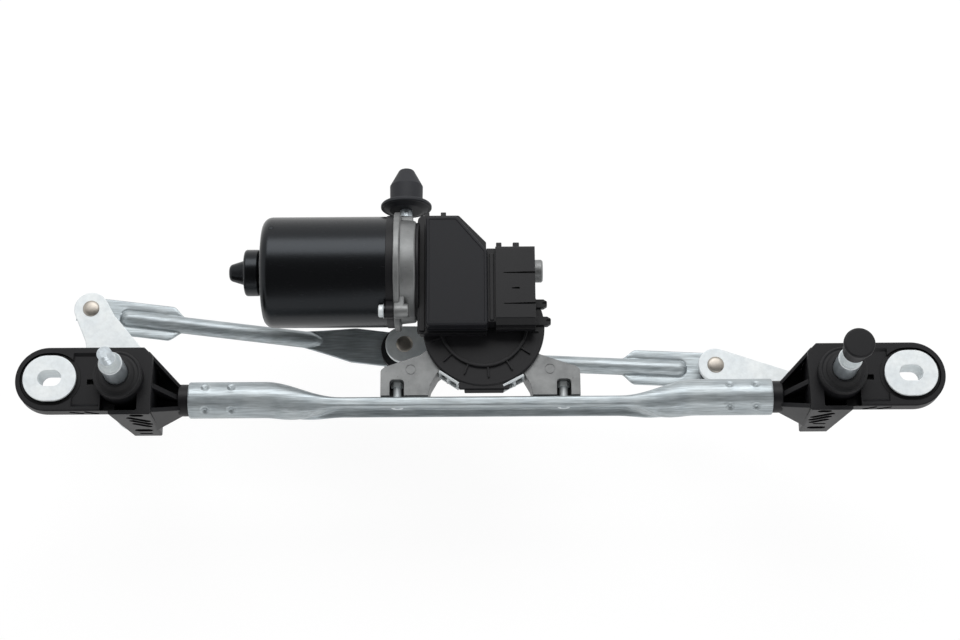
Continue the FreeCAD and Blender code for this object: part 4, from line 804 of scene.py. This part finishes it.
# Link rods
ROD_R, PLATE_HALF, SHEET, FURROW = 6.0, 13.0, 1.3, 0.45
CAVITY_R, CUP_R, CUP_TOP = BALL_R + 0.12, 10.5, 5.5
MOTOR_SOCKET_R = 17


def rod_width(along, length):
    """Half the rod's width at a distance from the spindle end."""
    if along < 0:
        return math.sqrt(max(0.04, PLATE_HALF ** 2 - along ** 2))
    if along < length - 76:
        return PLATE_HALF + (ROD_R - PLATE_HALF) * eased(clamp((along - 56) / 11))
    return ROD_R + (PLATE_HALF - ROD_R) * clamp((along - length + 76) / 38) ** 1.15


def rod_ridge(along, length):
    """Radius of the raised middle at a distance from the spindle end."""
    past = max(0, (26 - along) / 7, (along - length + 74) / 14)
    return ROD_R * math.sqrt(max(0, 1 - past ** 2))


def rod_ring(along, length):
    """The rod's section at a distance from the spindle end: a flat sheet with a round ridge."""
    width, ridge = rod_width(along, length), rod_ridge(along, length)
    flank = max(width, ROD_R + 0.06) - ROD_R
    sides = [ROD_R + flank * share for share in (1, 0.985, 0.95, 0.88, 0.6, 0.3, 0.12, 0.05)]
    middle = [ROD_R * math.cos(math.pi * step / 24) for step in range(25)]
    upper = []
    for across in sides + middle + [-place for place in reversed(sides)]:
        edge = clamp((width - abs(across)) / 0.9)
        sheet = SHEET * math.sqrt(max(0, 1 - (1 - edge) ** 2)) if width > ROD_R + 0.3 else 0
        dome = math.sqrt(max(0, ridge ** 2 - across ** 2))
        # A pressed furrow runs along each side of the ridge.
        if ridge and sheet:
            sheet -= FURROW * math.exp(-((abs(across) - ridge - 0.5) / 0.6) ** 2)
        upper.append((along, across, max(sheet, dome)))
    return upper + [(x, y, -z) for x, y, z in reversed(upper[1:-1])]


def spindle_socket(name, pose):
    """The cup that snaps over the spindle's ball."""
    mouth = math.sqrt(CAVITY_R ** 2 - CUP_TOP ** 2)
    cup = [(0, -10.5), (12, -10.5), (13, -9.8), (13, -1.5), (CUP_R, -1.4), (CUP_R, 4.9), (9.9, CUP_TOP),
           (mouth, CUP_TOP)]
    cup = turn_in(cup, [0, 0.6, 0.6, 0.3, 0, 0.4, 0.4, 0], 3, closed=False)
    hollow = ball_arc(CAVITY_R, 0, math.acos(CUP_TOP / CAVITY_R), math.pi, 12)
    piece = moved(lathe(cup[:-1] + hollow, 64), pose)
    finished(piece, name + "_end_socket", name + "_rod", "socket_plastic", name + "_spindle_socket", 35)


def motor_socket(name, pose):
    """The socket round one of the crank pin's two balls."""
    floor, top = -SOCKET_HALF - (2 if name == "right" else 0), SOCKET_HALF
    wide, waist = MOTOR_SOCKET_R, MOTOR_SOCKET_R - 1
    body = shaft([(0, floor), (wide, floor), (wide, floor + 3), (waist, floor + 3.6), (waist, top - 3.6),
                  (wide, top - 3), (wide, top), (12.5, top), (11.5, top - 1), (0, top - 1)], 0.5, 72)
    body = cut(body, lathe(ball_arc(CAVITY_R, 0, math.pi, 0, 20), 48))
    piece = moved(body, pose)
    finished(piece, name + "_crank_socket", name + "_rod", "socket_plastic", name + "_motor_socket", 35)


def link_rod(name):
    start = Vector((PINS[name].x, PINS[name].y, SPINDLE_BALL_Z))
    end = Vector((CRANK_PIN.x, CRANK_PIN.y, MOTOR_BALL_Z[name]))
    length = (end - start).length
    along_axis = (end - start).normalized()
    side_axis = Vector((0, 0, 1)).cross(along_axis).normalized()
    up_axis = along_axis.cross(side_axis)
    pose = Matrix.Translation(start) @ Matrix((along_axis, side_axis, up_axis)).transposed().to_4x4()
    stations = [-PLATE_HALF + 0.02, -12.6, -12, -11, -9.5, -8, -6, -3, 0, 5, 10, 15, 20, 30, 36, 42, 48, 52]
    stations += [length - 30, length - 22, length - 15, length - 8]
    runs = ((19.01, 0.7, 11), (56, 1.1, 11), (70, (length - 150) / 8, 9), (length - 78, 1.5, 29))
    for first, step, count in runs:
        stations += [first + step * index for index in range(count)]
    rod = loft([rod_ring(along, length) for along in sorted(stations)])
    rod = cut(rod, drum(CUP_R, -12, 12, 0), shifted(drum(MOTOR_SOCKET_R, -20, 20, 0), length))
    finished(moved(rod, pose), name + "_rod", name + "_rod", "galvanised", name + "_link_rod", 40)
    spindle_socket(name, pose)
    motor_socket(name, pose @ Matrix.Translation((length, 0, 0)))


# Output crank
def output_crank():
    top, bottom = high("motor_crank_arm").z, low("motor_crank_arm").z
    outline = strap((OUTPUT.x, OUTPUT.y), 15, (CRANK_PIN.x, CRANK_PIN.y), 13.5, 40)
    arm = cut(prism(outline, bottom, top, 0.6, 3), hole(6, bottom, top, OUTPUT.x, OUTPUT.y),
              hole(PIN_R, bottom, top, CRANK_PIN.x, CRANK_PIN.y))
    finished(arm, "crank_arm", "motor_crank", "zinc_plate", "motor_crank_arm")
    rivet("crank_pin", "motor_crank", CRANK_PIN, top, low("crank_pin").z, "crank_pin")
    nut_low, nut_high = low("crank_nut").z, high("crank_nut").z
    nut = prism(circle(0, 0, 10.4, 6), nut_low, nut_high, 0.35, angle=20)
    nut = cut(nut, hole(6, nut_low, nut_high, steps=40))
    finished(shifted(nut, OUTPUT.x, OUTPUT.y), "shaft_nut", "motor_crank", "zinc_plate", "crank_nut")


# Motor
LUG_REACH, LUG_TURN, LUG_R = 43.5, math.radians(-58), 5.2
LUG = Vector((LUG_REACH * math.sin(LUG_TURN), LUG_REACH * math.cos(LUG_TURN)))
LUGS = (LUG, -LUG)
CAN_LEFT, CUP_LEFT, CAN_RIGHT = -151.0, -164.2, high("motor_can").x
RING_RIGHT = high("brush_holder").x
CAN_R, RING_R, FLANGE_R = 38.8, 39.4, 41.8
FLANGE_RIGHT = RING_RIGHT + 4.7
NECK_RIGHT = FLANGE_RIGHT + 10.4


def on_motor(piece):
    """Turn a piece from Z to the motor's axis, with its heights as X."""
    return moved(piece, Matrix.Translation((0, MOTOR.y, MOTOR.z)) @ TO_X)


def lug_holes(radius, bottom, top):
    return [hole(radius, bottom, top, lug.x, lug.y, 24) for lug in LUGS]


def motor_ears(bottom, top, edge):
    """A bar across the motor whose two ends are the ears."""
    return prism(strap(LUG, LUG_R, -LUG, LUG_R, 20), bottom, top, edge)


def motor_can():
    tip, cup, left = low("motor_can").x - 2.2, CUP_LEFT, CAN_LEFT
    outer = [(0, tip), (5.4, tip), (9.0, cup + 0.6), (12.0, cup), (16.3, cup), (16.3, left - 3.4),
             (14.8, left - 2.6), (14.8, left - 0.6), (16, left), (CAN_R, left), (CAN_R, CAN_RIGHT)]
    radii = [0, 3.4, 0.6, 0.3, 3.6, 1.6, 0.8, 0.8, 0.5, 7.0, 0]
    inner = [(CAN_R - 2, CAN_RIGHT), (CAN_R - 2, left + 7), (31, left + 2), (12, left + 2), (12, left - 9),
             (0, left - 9)]
    can = lathe(turn_in(outer + inner, radii + [0] * len(inner), 6, closed=False), 128)
    ears = motor_ears(CAN_RIGHT - 1.4, CAN_RIGHT, 0.3)
    can = united(can, cut(ears, hole(CAN_R - 1, CAN_RIGHT - 3, CAN_RIGHT + 1, steps=96)))
    dents = []
    for angle in (58, -122):
        spot = Vector((math.cos(math.radians(angle)), math.sin(math.radians(angle)))) * (CAN_R + 1.6)
        dents.append(shifted(drum(2.4, left + 5.6, left + 9.6, 1.9, 24), spot.x, spot.y))
    can = cut(can, *lug_holes(2.7, CAN_RIGHT - 4, CAN_RIGHT + 1), *dents)
    finished(on_motor(can), "can", "body", "can_paint", "motor_can", 30)


def brush_ring():
    holder = prism(circle(0, 0, RING_R, 128), CAN_RIGHT, RING_RIGHT, 0.5)
    holder = united(holder, motor_ears(CAN_RIGHT, RING_RIGHT, 0.4))
    holder = cut(holder, hole(13, CAN_RIGHT, RING_RIGHT), *lug_holes(2.7, CAN_RIGHT, RING_RIGHT))
    finished(on_motor(holder), "brush_ring", "body", "black_plastic", "brush_holder")


def motor_screws():
    screws = []
    base = CAN_RIGHT - 0.4
    for lug in LUGS:
        head = shaft([(0, base - 4.6), (3.6, base - 4.6), (4.3, base - 3.9), (4.3, base - 1.7),
                      (4.0, base - 1.4), (5.1, base - 1.2), (5.1, base), (2.5, base), (2.5, base + 14),
                      (0, base + 14)], 0.3, 36)
        socket = prism(circle(0, 0, 2.1, 6), base - 5, base - 2.6)
        screws.append(shifted(cut(head, socket), lug.x, lug.y))
    finished(on_motor(joined(screws)), "motor_screws", "body", "zinc_plate", "can_screws")


# Gearbox
BOWL_FRONT, BOWL_BACK = -24.0, -50.0
BOWL_R, LUG_LEFT, CHAMBER_LEFT = 40.5, -56, -62
SEAT_Y = low("gearbox_housing").y
FOOT_X = 57.3
FOOT_BEAD = (47.8, 11.8)
PLUG_X = (low("locating_plug").x + high("locating_plug").x) / 2


def upright(x, z):
    """The matrix that stands a piece up along Y at a place on X and Z."""
    return Matrix.Translation((x, 0, z)) @ TO_Y


def foot(sign):
    """One foot: a leg from the bowl to the tube, with a window for the nut."""
    outline = [(68.5, SEAT_Y), (68.5, 11.6), (65.5, 14.0), (41, 22.5), (19, 43), (19, 18.5),
               (29.5, 9.5), (34.4, 0.8), (35.8, SEAT_Y)]
    radii = [0.3, 2.5, 2, 3, 0, 0, 4, 5, 0.3]
    leg = prism(turn_in(outline, radii, 5), -46, BOWL_FRONT, 0.9, 3)
    recess = prism(turn_in([(42, 19), (60, 13.5), (60, 7.5), (47, 1), (42, 6)], 2, 3), BOWL_BACK, -42)
    window = prism(rectangle(FOOT_X - 5, SEAT_Y - 3, FOOT_X + 5, 4.9, 2.6), -40, BOWL_FRONT + 1)
    bead = prism(circle(*FOOT_BEAD, 3.6, 40), BOWL_FRONT - 0.4, BOWL_FRONT + 1)
    core = prism(circle(*FOOT_BEAD, 3.1, 40), BOWL_FRONT - 2, BOWL_FRONT - 0.05)
    bore = moved(drum(3, SEAT_Y, SEAT_Y + 17, 0, 32), upright(FOOT_X, TUBE_Z))
    leg = united(cut(leg, recess, window, bead, bore), core)
    return moved(leg, MIRROR_X) if sign < 0 else leg


def motor_lugs():
    """The flange's lugs with their screw bosses."""
    lugs = []
    for lug in LUGS:
        lugs.append(on_motor(prism(strap(lug, 5.4, lug * 0.7, 7.5, 20), RING_RIGHT, -51.5, 1.8)))
        boss = shaft([(0, LUG_LEFT), (5.2, LUG_LEFT), (5.0, -48.6), (0, -48.4)], [0, 0.2, 1.4, 0], 40)
        lugs.append(on_motor(shifted(boss, lug.x, lug.y)))
    return lugs


def gearbox():
    bowl = shaft([(0, BOWL_BACK), (39, BOWL_BACK), (BOWL_R, BOWL_FRONT - 6), (BOWL_R, BOWL_FRONT),
                  (0, BOWL_FRONT)], [0, 4, 2, 0.4, 0], 96)
    boss = shaft([(0, -59), (11.4, -59), (12.6, -49), (0, -49)], 0.8, 48)
    tunnel = shaft([(0, -50), (11.4, -50), (11.4, 37), (10.4, 38), (8, 38), (8, 43), (7, 44), (0, 44)],
                   0.7, 56)
    flange = shaft([(0, RING_RIGHT), (FLANGE_R, RING_RIGHT), (FLANGE_R, FLANGE_RIGHT - 0.6),
                    (36.6, FLANGE_RIGHT - 0.2), (35.6, NECK_RIGHT), (0, NECK_RIGHT)],
                   [0, 0.8, 1.0, 0.6, 1.8, 0], 112)
    plug_arm = block((-57, 100, -33.5), (-46.6, 125.4, -22.5), 1.6)
    body = united(shifted(bowl, OUTPUT.x, OUTPUT.y), shifted(boss, OUTPUT.x, OUTPUT.y), on_motor(tunnel),
                  on_motor(flange), *motor_lugs(), plug_arm, foot(1), foot(-1))
    hollow = shaft([(0, -46), (38, -46), (38, -23), (0, -23)], [0, 2.5, 0, 0], 96)
    hollow = shifted(hollow, OUTPUT.x, OUTPUT.y)
    bore = shifted(drum(9, -62, -44, 0, 48), OUTPUT.x, OUTPUT.y)
    worm_bore = on_motor(drum(9.4, CHAMBER_LEFT, 36, 0, 48))
    chamber = on_motor(drum(24, CHAMBER_LEFT, -50, 0, 64))
    screw_holes = [on_motor(tool) for tool in lug_holes(2.5, CHAMBER_LEFT + 1, -51)]
    stud_hole = moved(drum(3, 118.7, 130, 0, 32), upright(PLUG_X, MOTOR.z))
    body = cut(body, hollow, bore, worm_bore, chamber, *screw_holes, stud_hole)
    finished(body, "gearbox", "body", "cast_aluminium", "gearbox_housing", 34)


# Gear cover and its clips
COVER_R, COVER_TOP, SPOKES, WALL_SHIFT = 42, BOWL_FRONT + 4, 14, 1.8
SWAP_YZ = Matrix(((1, 0, 0, 0), (0, 0, 1, 0), (0, 1, 0, 0), (0, 0, 0, 1)))


def cover_disc():
    """The round part of the cover: a raised wall with spokes round it, a rim and a tab."""
    top = COVER_TOP
    disc = shaft([(0, BOWL_FRONT), (COVER_R, BOWL_FRONT), (COVER_R, top - 1.6), (COVER_R - 0.6, top - 0.9),
                  (0, top - 0.9)], [0, 0.3, 0.6, 0.6, 0], 112)
    wall = ring([(28.5, top - 2), (30.7, top - 2), (30.7, top + 1.3), (28.5, top + 1.3)],
                [0, 0, 0.5, 0.5], 112)
    disc = united(disc, shifted(wall, 0, WALL_SHIFT))
    spokes = []
    for step in range(SPOKES):
        bar = block((29.9, -0.55, top - 2), (38.2, 0.55, top + 0.6), 0.3)
        turned = Matrix.Rotation(math.radians(-85 + step * 360 / SPOKES), 4, "Z")
        spokes.append(moved(bar, Matrix.Translation((0, WALL_SHIFT, 0)) @ turned))
    rim = prism(turn_in([(-17.3, -44), (17.3, -44), (17, -36), (-17, -36)], 1, 3), BOWL_FRONT, top - 1.7, 0.4)
    tab_outline = turn_in([(-13.4, -46.4), (13.4, -46.4), (14, -38), (-14, -38)], 0.8, 3)
    disc = united(disc, *spokes, rim, prism(tab_outline, BOWL_FRONT, top - 2.6, 0.3))
    clearance = MOTOR.y - 12 - OUTPUT.y
    return shifted(cut(disc, block((-50, clearance, -30), (50, 50, 0))), OUTPUT.x, OUTPUT.y)


def cover_knobs():
    """Two knobs on the cover's right edge, each with a notch."""
    knobs = []
    for start, end, reach in ((54.6, 60.8, 46.4), (41.8, 48.2, 48.9)):
        outline = [(38, start), (reach - 2.5, start), (reach, start + 1.6), (reach, end - 1.6),
                   (reach - 2.5, end), (38, end)]
        knob = prism(turn_in(outline, 0.6, 3), BOWL_FRONT + 0.1, COVER_TOP + 0.9, 0.4)
        notch = rectangle(reach - 3.2, start + 2.2, reach + 1, end - 2.2, 0.4)
        knobs.append(cut(knob, prism(notch, COVER_TOP - 0.2, COVER_TOP + 2)))
    return knobs


def gear_cover():
    tray_z = low("electronics_lid").z
    outline = [(-43.1, 34.5), (4.6, 34.5), (4.6, 101.4), (-14.4, 121.7), (-43.1, 121.7)]
    tray = prism(turn_in(outline, [1, 1, 1.5, 2.5, 4.2], 5), tray_z - 2, tray_z, 0.4)
    outline = [(-41.8, 36), (-38, 36), (-38, 116), (-41.8, 116)]
    step = prism(turn_in(outline, 1.2, 3), tray_z - 0.5, tray_z + 1.4, 0.4)
    riser = prism(rectangle(-41.6, 34.5, 4.6, 71.4, 1.5), COVER_TOP - 1.5, tray_z - 1, 0.3)
    tabs = [prism(rectangle(x, 120.5, x + 3.7, 124.1, 0.5), tray_z - 2, tray_z - 0.1, 0.3)
            for x in (-38.6, -27)]
    # A black disc closes the gap between the gearbox's neck and the tray, so that the gap shows dark.
    gap_disc = on_motor(drum(34.4, NECK_RIGHT + 0.1, NECK_RIGHT + 2.0, 0.4, 96))
    cover = united(cover_disc(), tray, step, riser, gap_disc, *tabs, *cover_knobs())
    finished(cover, "cover", "body", "black_plastic", "gear_cover")


def cover_clips():
    clips = []
    back, top = low("cover_clips").z, COVER_TOP
    for angle in (-124, -62):
        outline = [(40.6, back), (43.8, back), (43.8, top - 1.6), (42.3, top - 0.6), (42.3, back + 1.2),
                   (40.6, back + 1.2)]
        strip = prism(turn_in(outline, [0.3, 1.0, 0.6, 0.3, 0.3, 0.3], 3), -8, 8, 0.2)
        windows = [block((40, start, BOWL_FRONT - 9), (46, start + 5.4, top - 3)) for start in (-6.6, 1.2)]
        tongue = block((42.6, -0.9, BOWL_FRONT - 7), (45.2, 0.9, top - 3.5), 0.5)
        clip = united(cut(moved(strip, SWAP_YZ), *windows), tongue)
        clips.append(moved(clip, Matrix.Rotation(math.radians(angle), 4, "Z")))
    finished(shifted(joined(clips), OUTPUT.x, OUTPUT.y), "clips", "body", "zinc_plate", "cover_clips")


# Electronics box and connector
def box_outline(inset, radius):
    left, right, bottom, top = -37.2 + inset, 5.6 - inset, 35.6 + inset, 115.9 - inset
    across, up = 20.1, 24.6
    slant = math.hypot(across, up)
    points = [(left, bottom), (right, bottom), (right, 90.3 - inset * (slant - up) / across),
              (-15.4 - inset * (slant - across) / up, top), (left, top)]
    return turn_in(points, max(0.3, radius - inset), 5)


def electronics():
    base = low("electronics_lid").z
    # Each level is an inset of the outline, its corner radius and a height.
    levels = [(1.6, 2.5, base), (1.6, 2.5, -10.6), (0.2, 2.5, -10.2), (0.2, 2.5, -8.4), (0.6, 2.5, -8.2),
              (0.3, 2.5, -1.4), (0.5, 2.5, -0.6), (0.9, 2.5, -0.15), (1.4, 2.6, -0.02), (2.3, 3.2, -0.02),
              (2.6, 3.4, -0.55), (8, 6, -0.55)]
    lid = stepped([(box_outline(inset, radius), level) for inset, radius, level in levels])
    lid = cut(lid, prism(box_outline(3.6, 3.6), base - 1, -2.5))
    lid = united(lid, prism(rectangle(-36.6, 34.9, 5.0, 38.3, 0.6), -10.0, -8.7, 0.2))
    finished(lid, "lid", "body", "lid_plastic", "electronics_lid", 28)


def connector():
    foot_low, far = low("connector_housing").z, high("connector_housing")
    tab_top, right = far.y, far.x
    left, bottom, top, front, back = 10.8, 36.2, 93.5, -0.5, -16.5
    section = [(bottom + 1.1, back), (top, back), (top, front), (bottom + 4.6, front),
               (bottom + 1.2, front - 5), (bottom + 1.2, front - 9.6), (bottom, front - 10),
               (bottom, front - 14.8), (bottom + 1.1, front - 15.2)]
    section = turn_in(section, [0.5, 1.6, 2.0, 1.2, 1.5, 0.2, 0.5, 0.5, 0.2], 4)
    shell = moved(prism(section, left, right, 0.5), TO_X)
    neck = block((4.6, bottom + 3, back), (left + 2, top - 0.5, front - 3.5), 0.5)
    bead = block((6.8, bottom + 4, back + 2), (9.6, top - 4.5, front - 2.4), 0.6)
    support = block((left, bottom + 1, foot_low), (left + 8, 68, back + 1), 0.3)
    tabs = [block((left + x, top - 1, back + 6), (left + x + width, tab_top, back + 11), 0.5)
            for x, width in ((0.6, 3.8), (12.1, 4.4))]
    body = united(shell, neck, bead, support, *tabs)
    socket_outline = rectangle(bottom + 3, back + 2.5, top - 2.5, front - 2.5, 1.5)
    socket = moved(prism(socket_outline, right - 20, right + 2), TO_X)
    slots = [prism(strap((start, y), 0.3, (end, y), 0.85, 8), front - 1.4, front + 2)
             for start, end, y in ((16.6, right + 2, 73.8), (16.6, right + 2, 51.4), (22, 26.6, 62.5))]
    finished(cut(body, socket, *slots), "connector", "body", "black_plastic", "connector_housing")


# Plug, stud and the fasteners in the feet
def plug():
    base, top = low("locating_plug").y, high("locating_plug").y
    profile = [(0, base + 18.4), (3.05, base + 18.4), (3.05, base), (11.5, base), (15.8, base + 1.6),
               (17.3, base + 1.4), (18, base + 2.0), (18, base + 3.6), (17.3, base + 4.4), (12.4, base + 4.6),
               (11.5, base + 5.6), (11.7, base + 18.3), (5.5, top - 0.8), (4.6, top), (0, top)]
    radii = [0, 0, 0.3, 0.4, 0.6, 0.3, 0.5, 0.5, 0.5, 0.5, 0.6, 1.0, 1.5, 1.5, 0]
    piece = lathe(turn_in(profile, radii, 4, closed=False), 96)
    place = upright(PLUG_X, MOTOR.z)
    finished(moved(piece, place), "plug", "body", "rubber_grey", "locating_plug", 35)
    bottom, tip = low("plug_stud").y, high("plug_stud").y
    stud = shaft([(0, bottom), (3, bottom), (3, 125.2), (4.4, 125.2), (4.4, base), (3, base), (3, tip),
                  (0, tip)], 0.3, 48)
    finished(moved(stud, place), "stud", "body", "machined_steel", "plug_stud")


def foot_fasteners():
    under, tip = low("foot_screws").y + 7.4, high("foot_screws").y
    low_nut, high_nut = low("foot_nuts").y, high("foot_nuts").y
    screws, nuts = [], []
    for sign in (-1, 1):
        place = upright(sign * FOOT_X, TUBE_Z)
        screw = shaft([(0, under - 1.5), (4.0, under - 1.5), (4.5, under - 1.0), (4.5, under), (2.95, under),
                       (2.95, tip), (0, tip)], 0.25, 40)
        screws.append(moved(cut(screw, prism(circle(0, 0, 2.4, 6), under - 3, under - 0.5)), place))
        nut = prism(circle(0, 0, 4.6, 6), low_nut, high_nut, 0.3, angle=20)
        nuts.append(moved(cut(nut, hole(3, low_nut, high_nut, steps=32)), place))
    finished(joined(screws), "tube_screws", "body", "zinc_plate", "foot_screws")
    finished(joined(nuts), "leg_nuts", "body", "zinc_plate", "foot_nuts")


# Studio, in metres
BACKGROUND_RAYS = ("Is Camera Ray", "Is Glossy Ray", "Is Transmission Ray")
WORLD_STRENGTH, FLOOR_GLOW, FLOOR_SHARE = 0.42, 1.06, 0.85
FLOOR_LEVEL, FLOOR_HALF = -0.16, 4
CARD_HALF, CARD_DISTANCE, CARD_TILT, CARD_EMISSION = 2.5, 2.4, TILT + math.radians(8), 0.09


def bright_for_background(tree, plain, bright, output):
    """Mix a bright shader in for the ray kinds that see the background."""
    path = tree.nodes.new("ShaderNodeLightPath")
    total = path.outputs[BACKGROUND_RAYS[0]]
    for kind in BACKGROUND_RAYS[1:]:
        most = tree.nodes.new("ShaderNodeMath")
        most.operation = "MAXIMUM"
        tree.links.new(total, most.inputs[0])
        tree.links.new(path.outputs[kind], most.inputs[1])
        total = most.outputs[0]
    mix = tree.nodes.new("ShaderNodeMixShader")
    for source, socket in zip((total, plain, bright), mix.inputs):
        tree.links.new(source, socket)
    tree.links.new(mix.outputs[0], output.inputs["Surface"])


def world():
    room = bpy.data.worlds.new("studio")
    bpy.context.scene.world = room
    room.use_nodes = True
    tree = room.node_tree
    plain, bright = tree.nodes["Background"], tree.nodes.new("ShaderNodeBackground")
    for node, strength in ((plain, WORLD_STRENGTH), (bright, 1.0)):
        node.inputs["Color"].default_value = (1, 1, 1, 1)
        node.inputs["Strength"].default_value = strength
    bright_for_background(tree, plain.outputs[0], bright.outputs[0], tree.nodes["World Output"])


def lamp(name, place, target, size, power):
    data = bpy.data.lights.new(name, "AREA")
    data.shape = "RECTANGLE"
    data.size, data.size_y = size
    data.energy = power
    lamp_object = bpy.data.objects.new(name, data)
    bpy.context.scene.collection.objects.link(lamp_object)
    lamp_object.location = place
    direction = Vector(target) - Vector(place)
    lamp_object.rotation_euler = direction.to_track_quat("-Z", "Y").to_euler()


def stage_plane(name, half, colour, roughness):
    """A square of the studio, with its tree and its shader."""
    mesh_data = bmesh.new()
    bmesh.ops.create_grid(mesh_data, x_segments=1, y_segments=1, size=half)
    plane = linked(mesh_data)
    plane.name = name
    material = bpy.data.materials.new(name)
    material.use_nodes = True
    shader = material.node_tree.nodes["Principled BSDF"]
    shader.inputs["Base Color"].default_value = (*colour, 1)
    shader.inputs["Roughness"].default_value = roughness
    plane.data.materials.append(material)
    return plane, material.node_tree, shader


def dark_side():
    """The dark side of the room, behind the camera, which shows only in reflections."""
    card, _, shader = stage_plane("dark_side", CARD_HALF, (0.01, 0.01, 0.01), 1.0)
    shader.inputs["Emission Strength"].default_value = CARD_EMISSION
    facing = Vector((0, -math.sin(CARD_TILT), math.cos(CARD_TILT)))
    card.location = AIM + facing * CARD_DISTANCE
    card.rotation_euler = (-facing).to_track_quat("Z", "Y").to_euler()
    card.visible_diffuse = False
    card.visible_shadow = False


def white_floor():
    floor, tree, shader = stage_plane("floor", FLOOR_HALF, (0.92, 0.92, 0.92), 0.9)
    floor.location.z = FLOOR_LEVEL
    glow = tree.nodes.new("ShaderNodeEmission")
    glow.inputs["Strength"].default_value = FLOOR_GLOW
    blend = tree.nodes.new("ShaderNodeMixShader")
    blend.inputs[0].default_value = FLOOR_SHARE
    tree.links.new(shader.outputs[0], blend.inputs[1])
    tree.links.new(glow.outputs[0], blend.inputs[2])
    bright_for_background(tree, shader.outputs[0], blend.outputs[0], tree.nodes["Material Output"])


add_camera()
bpy.context.scene.view_settings.view_transform = "Standard"
world()
lamp("key", (0.0, 0.9, 1.1), (0, 0.02, -0.03), (1.5, 0.8), 13)
lamp("fill", (0.5, -1.5, 0.7), (0, 0, -0.03), (1.2, 0.5), 5)
dark_side()
white_floor()
slots = {item["node"]: item["material_slot"] for item in frame["record"]["subparts"]}
for node_name, node_object in frame["nodes"].items():
    node_object.data.materials.clear()
    node_object.data.materials.append(MATERIALS[slots[node_name]])
frame_tube()
for side_name, side_sign in SIDES:
    housing(side_name, side_sign)
    mounts(side_name, side_sign)
    seal(side_name, side_sign)
    spindle(side_name, side_sign)
    link_rod(side_name)
cap()
output_crank()
motor_can()
brush_ring()
motor_screws()
gearbox()
gear_cover()
cover_clips()
electronics()
connector()
plug()
foot_fasteners()
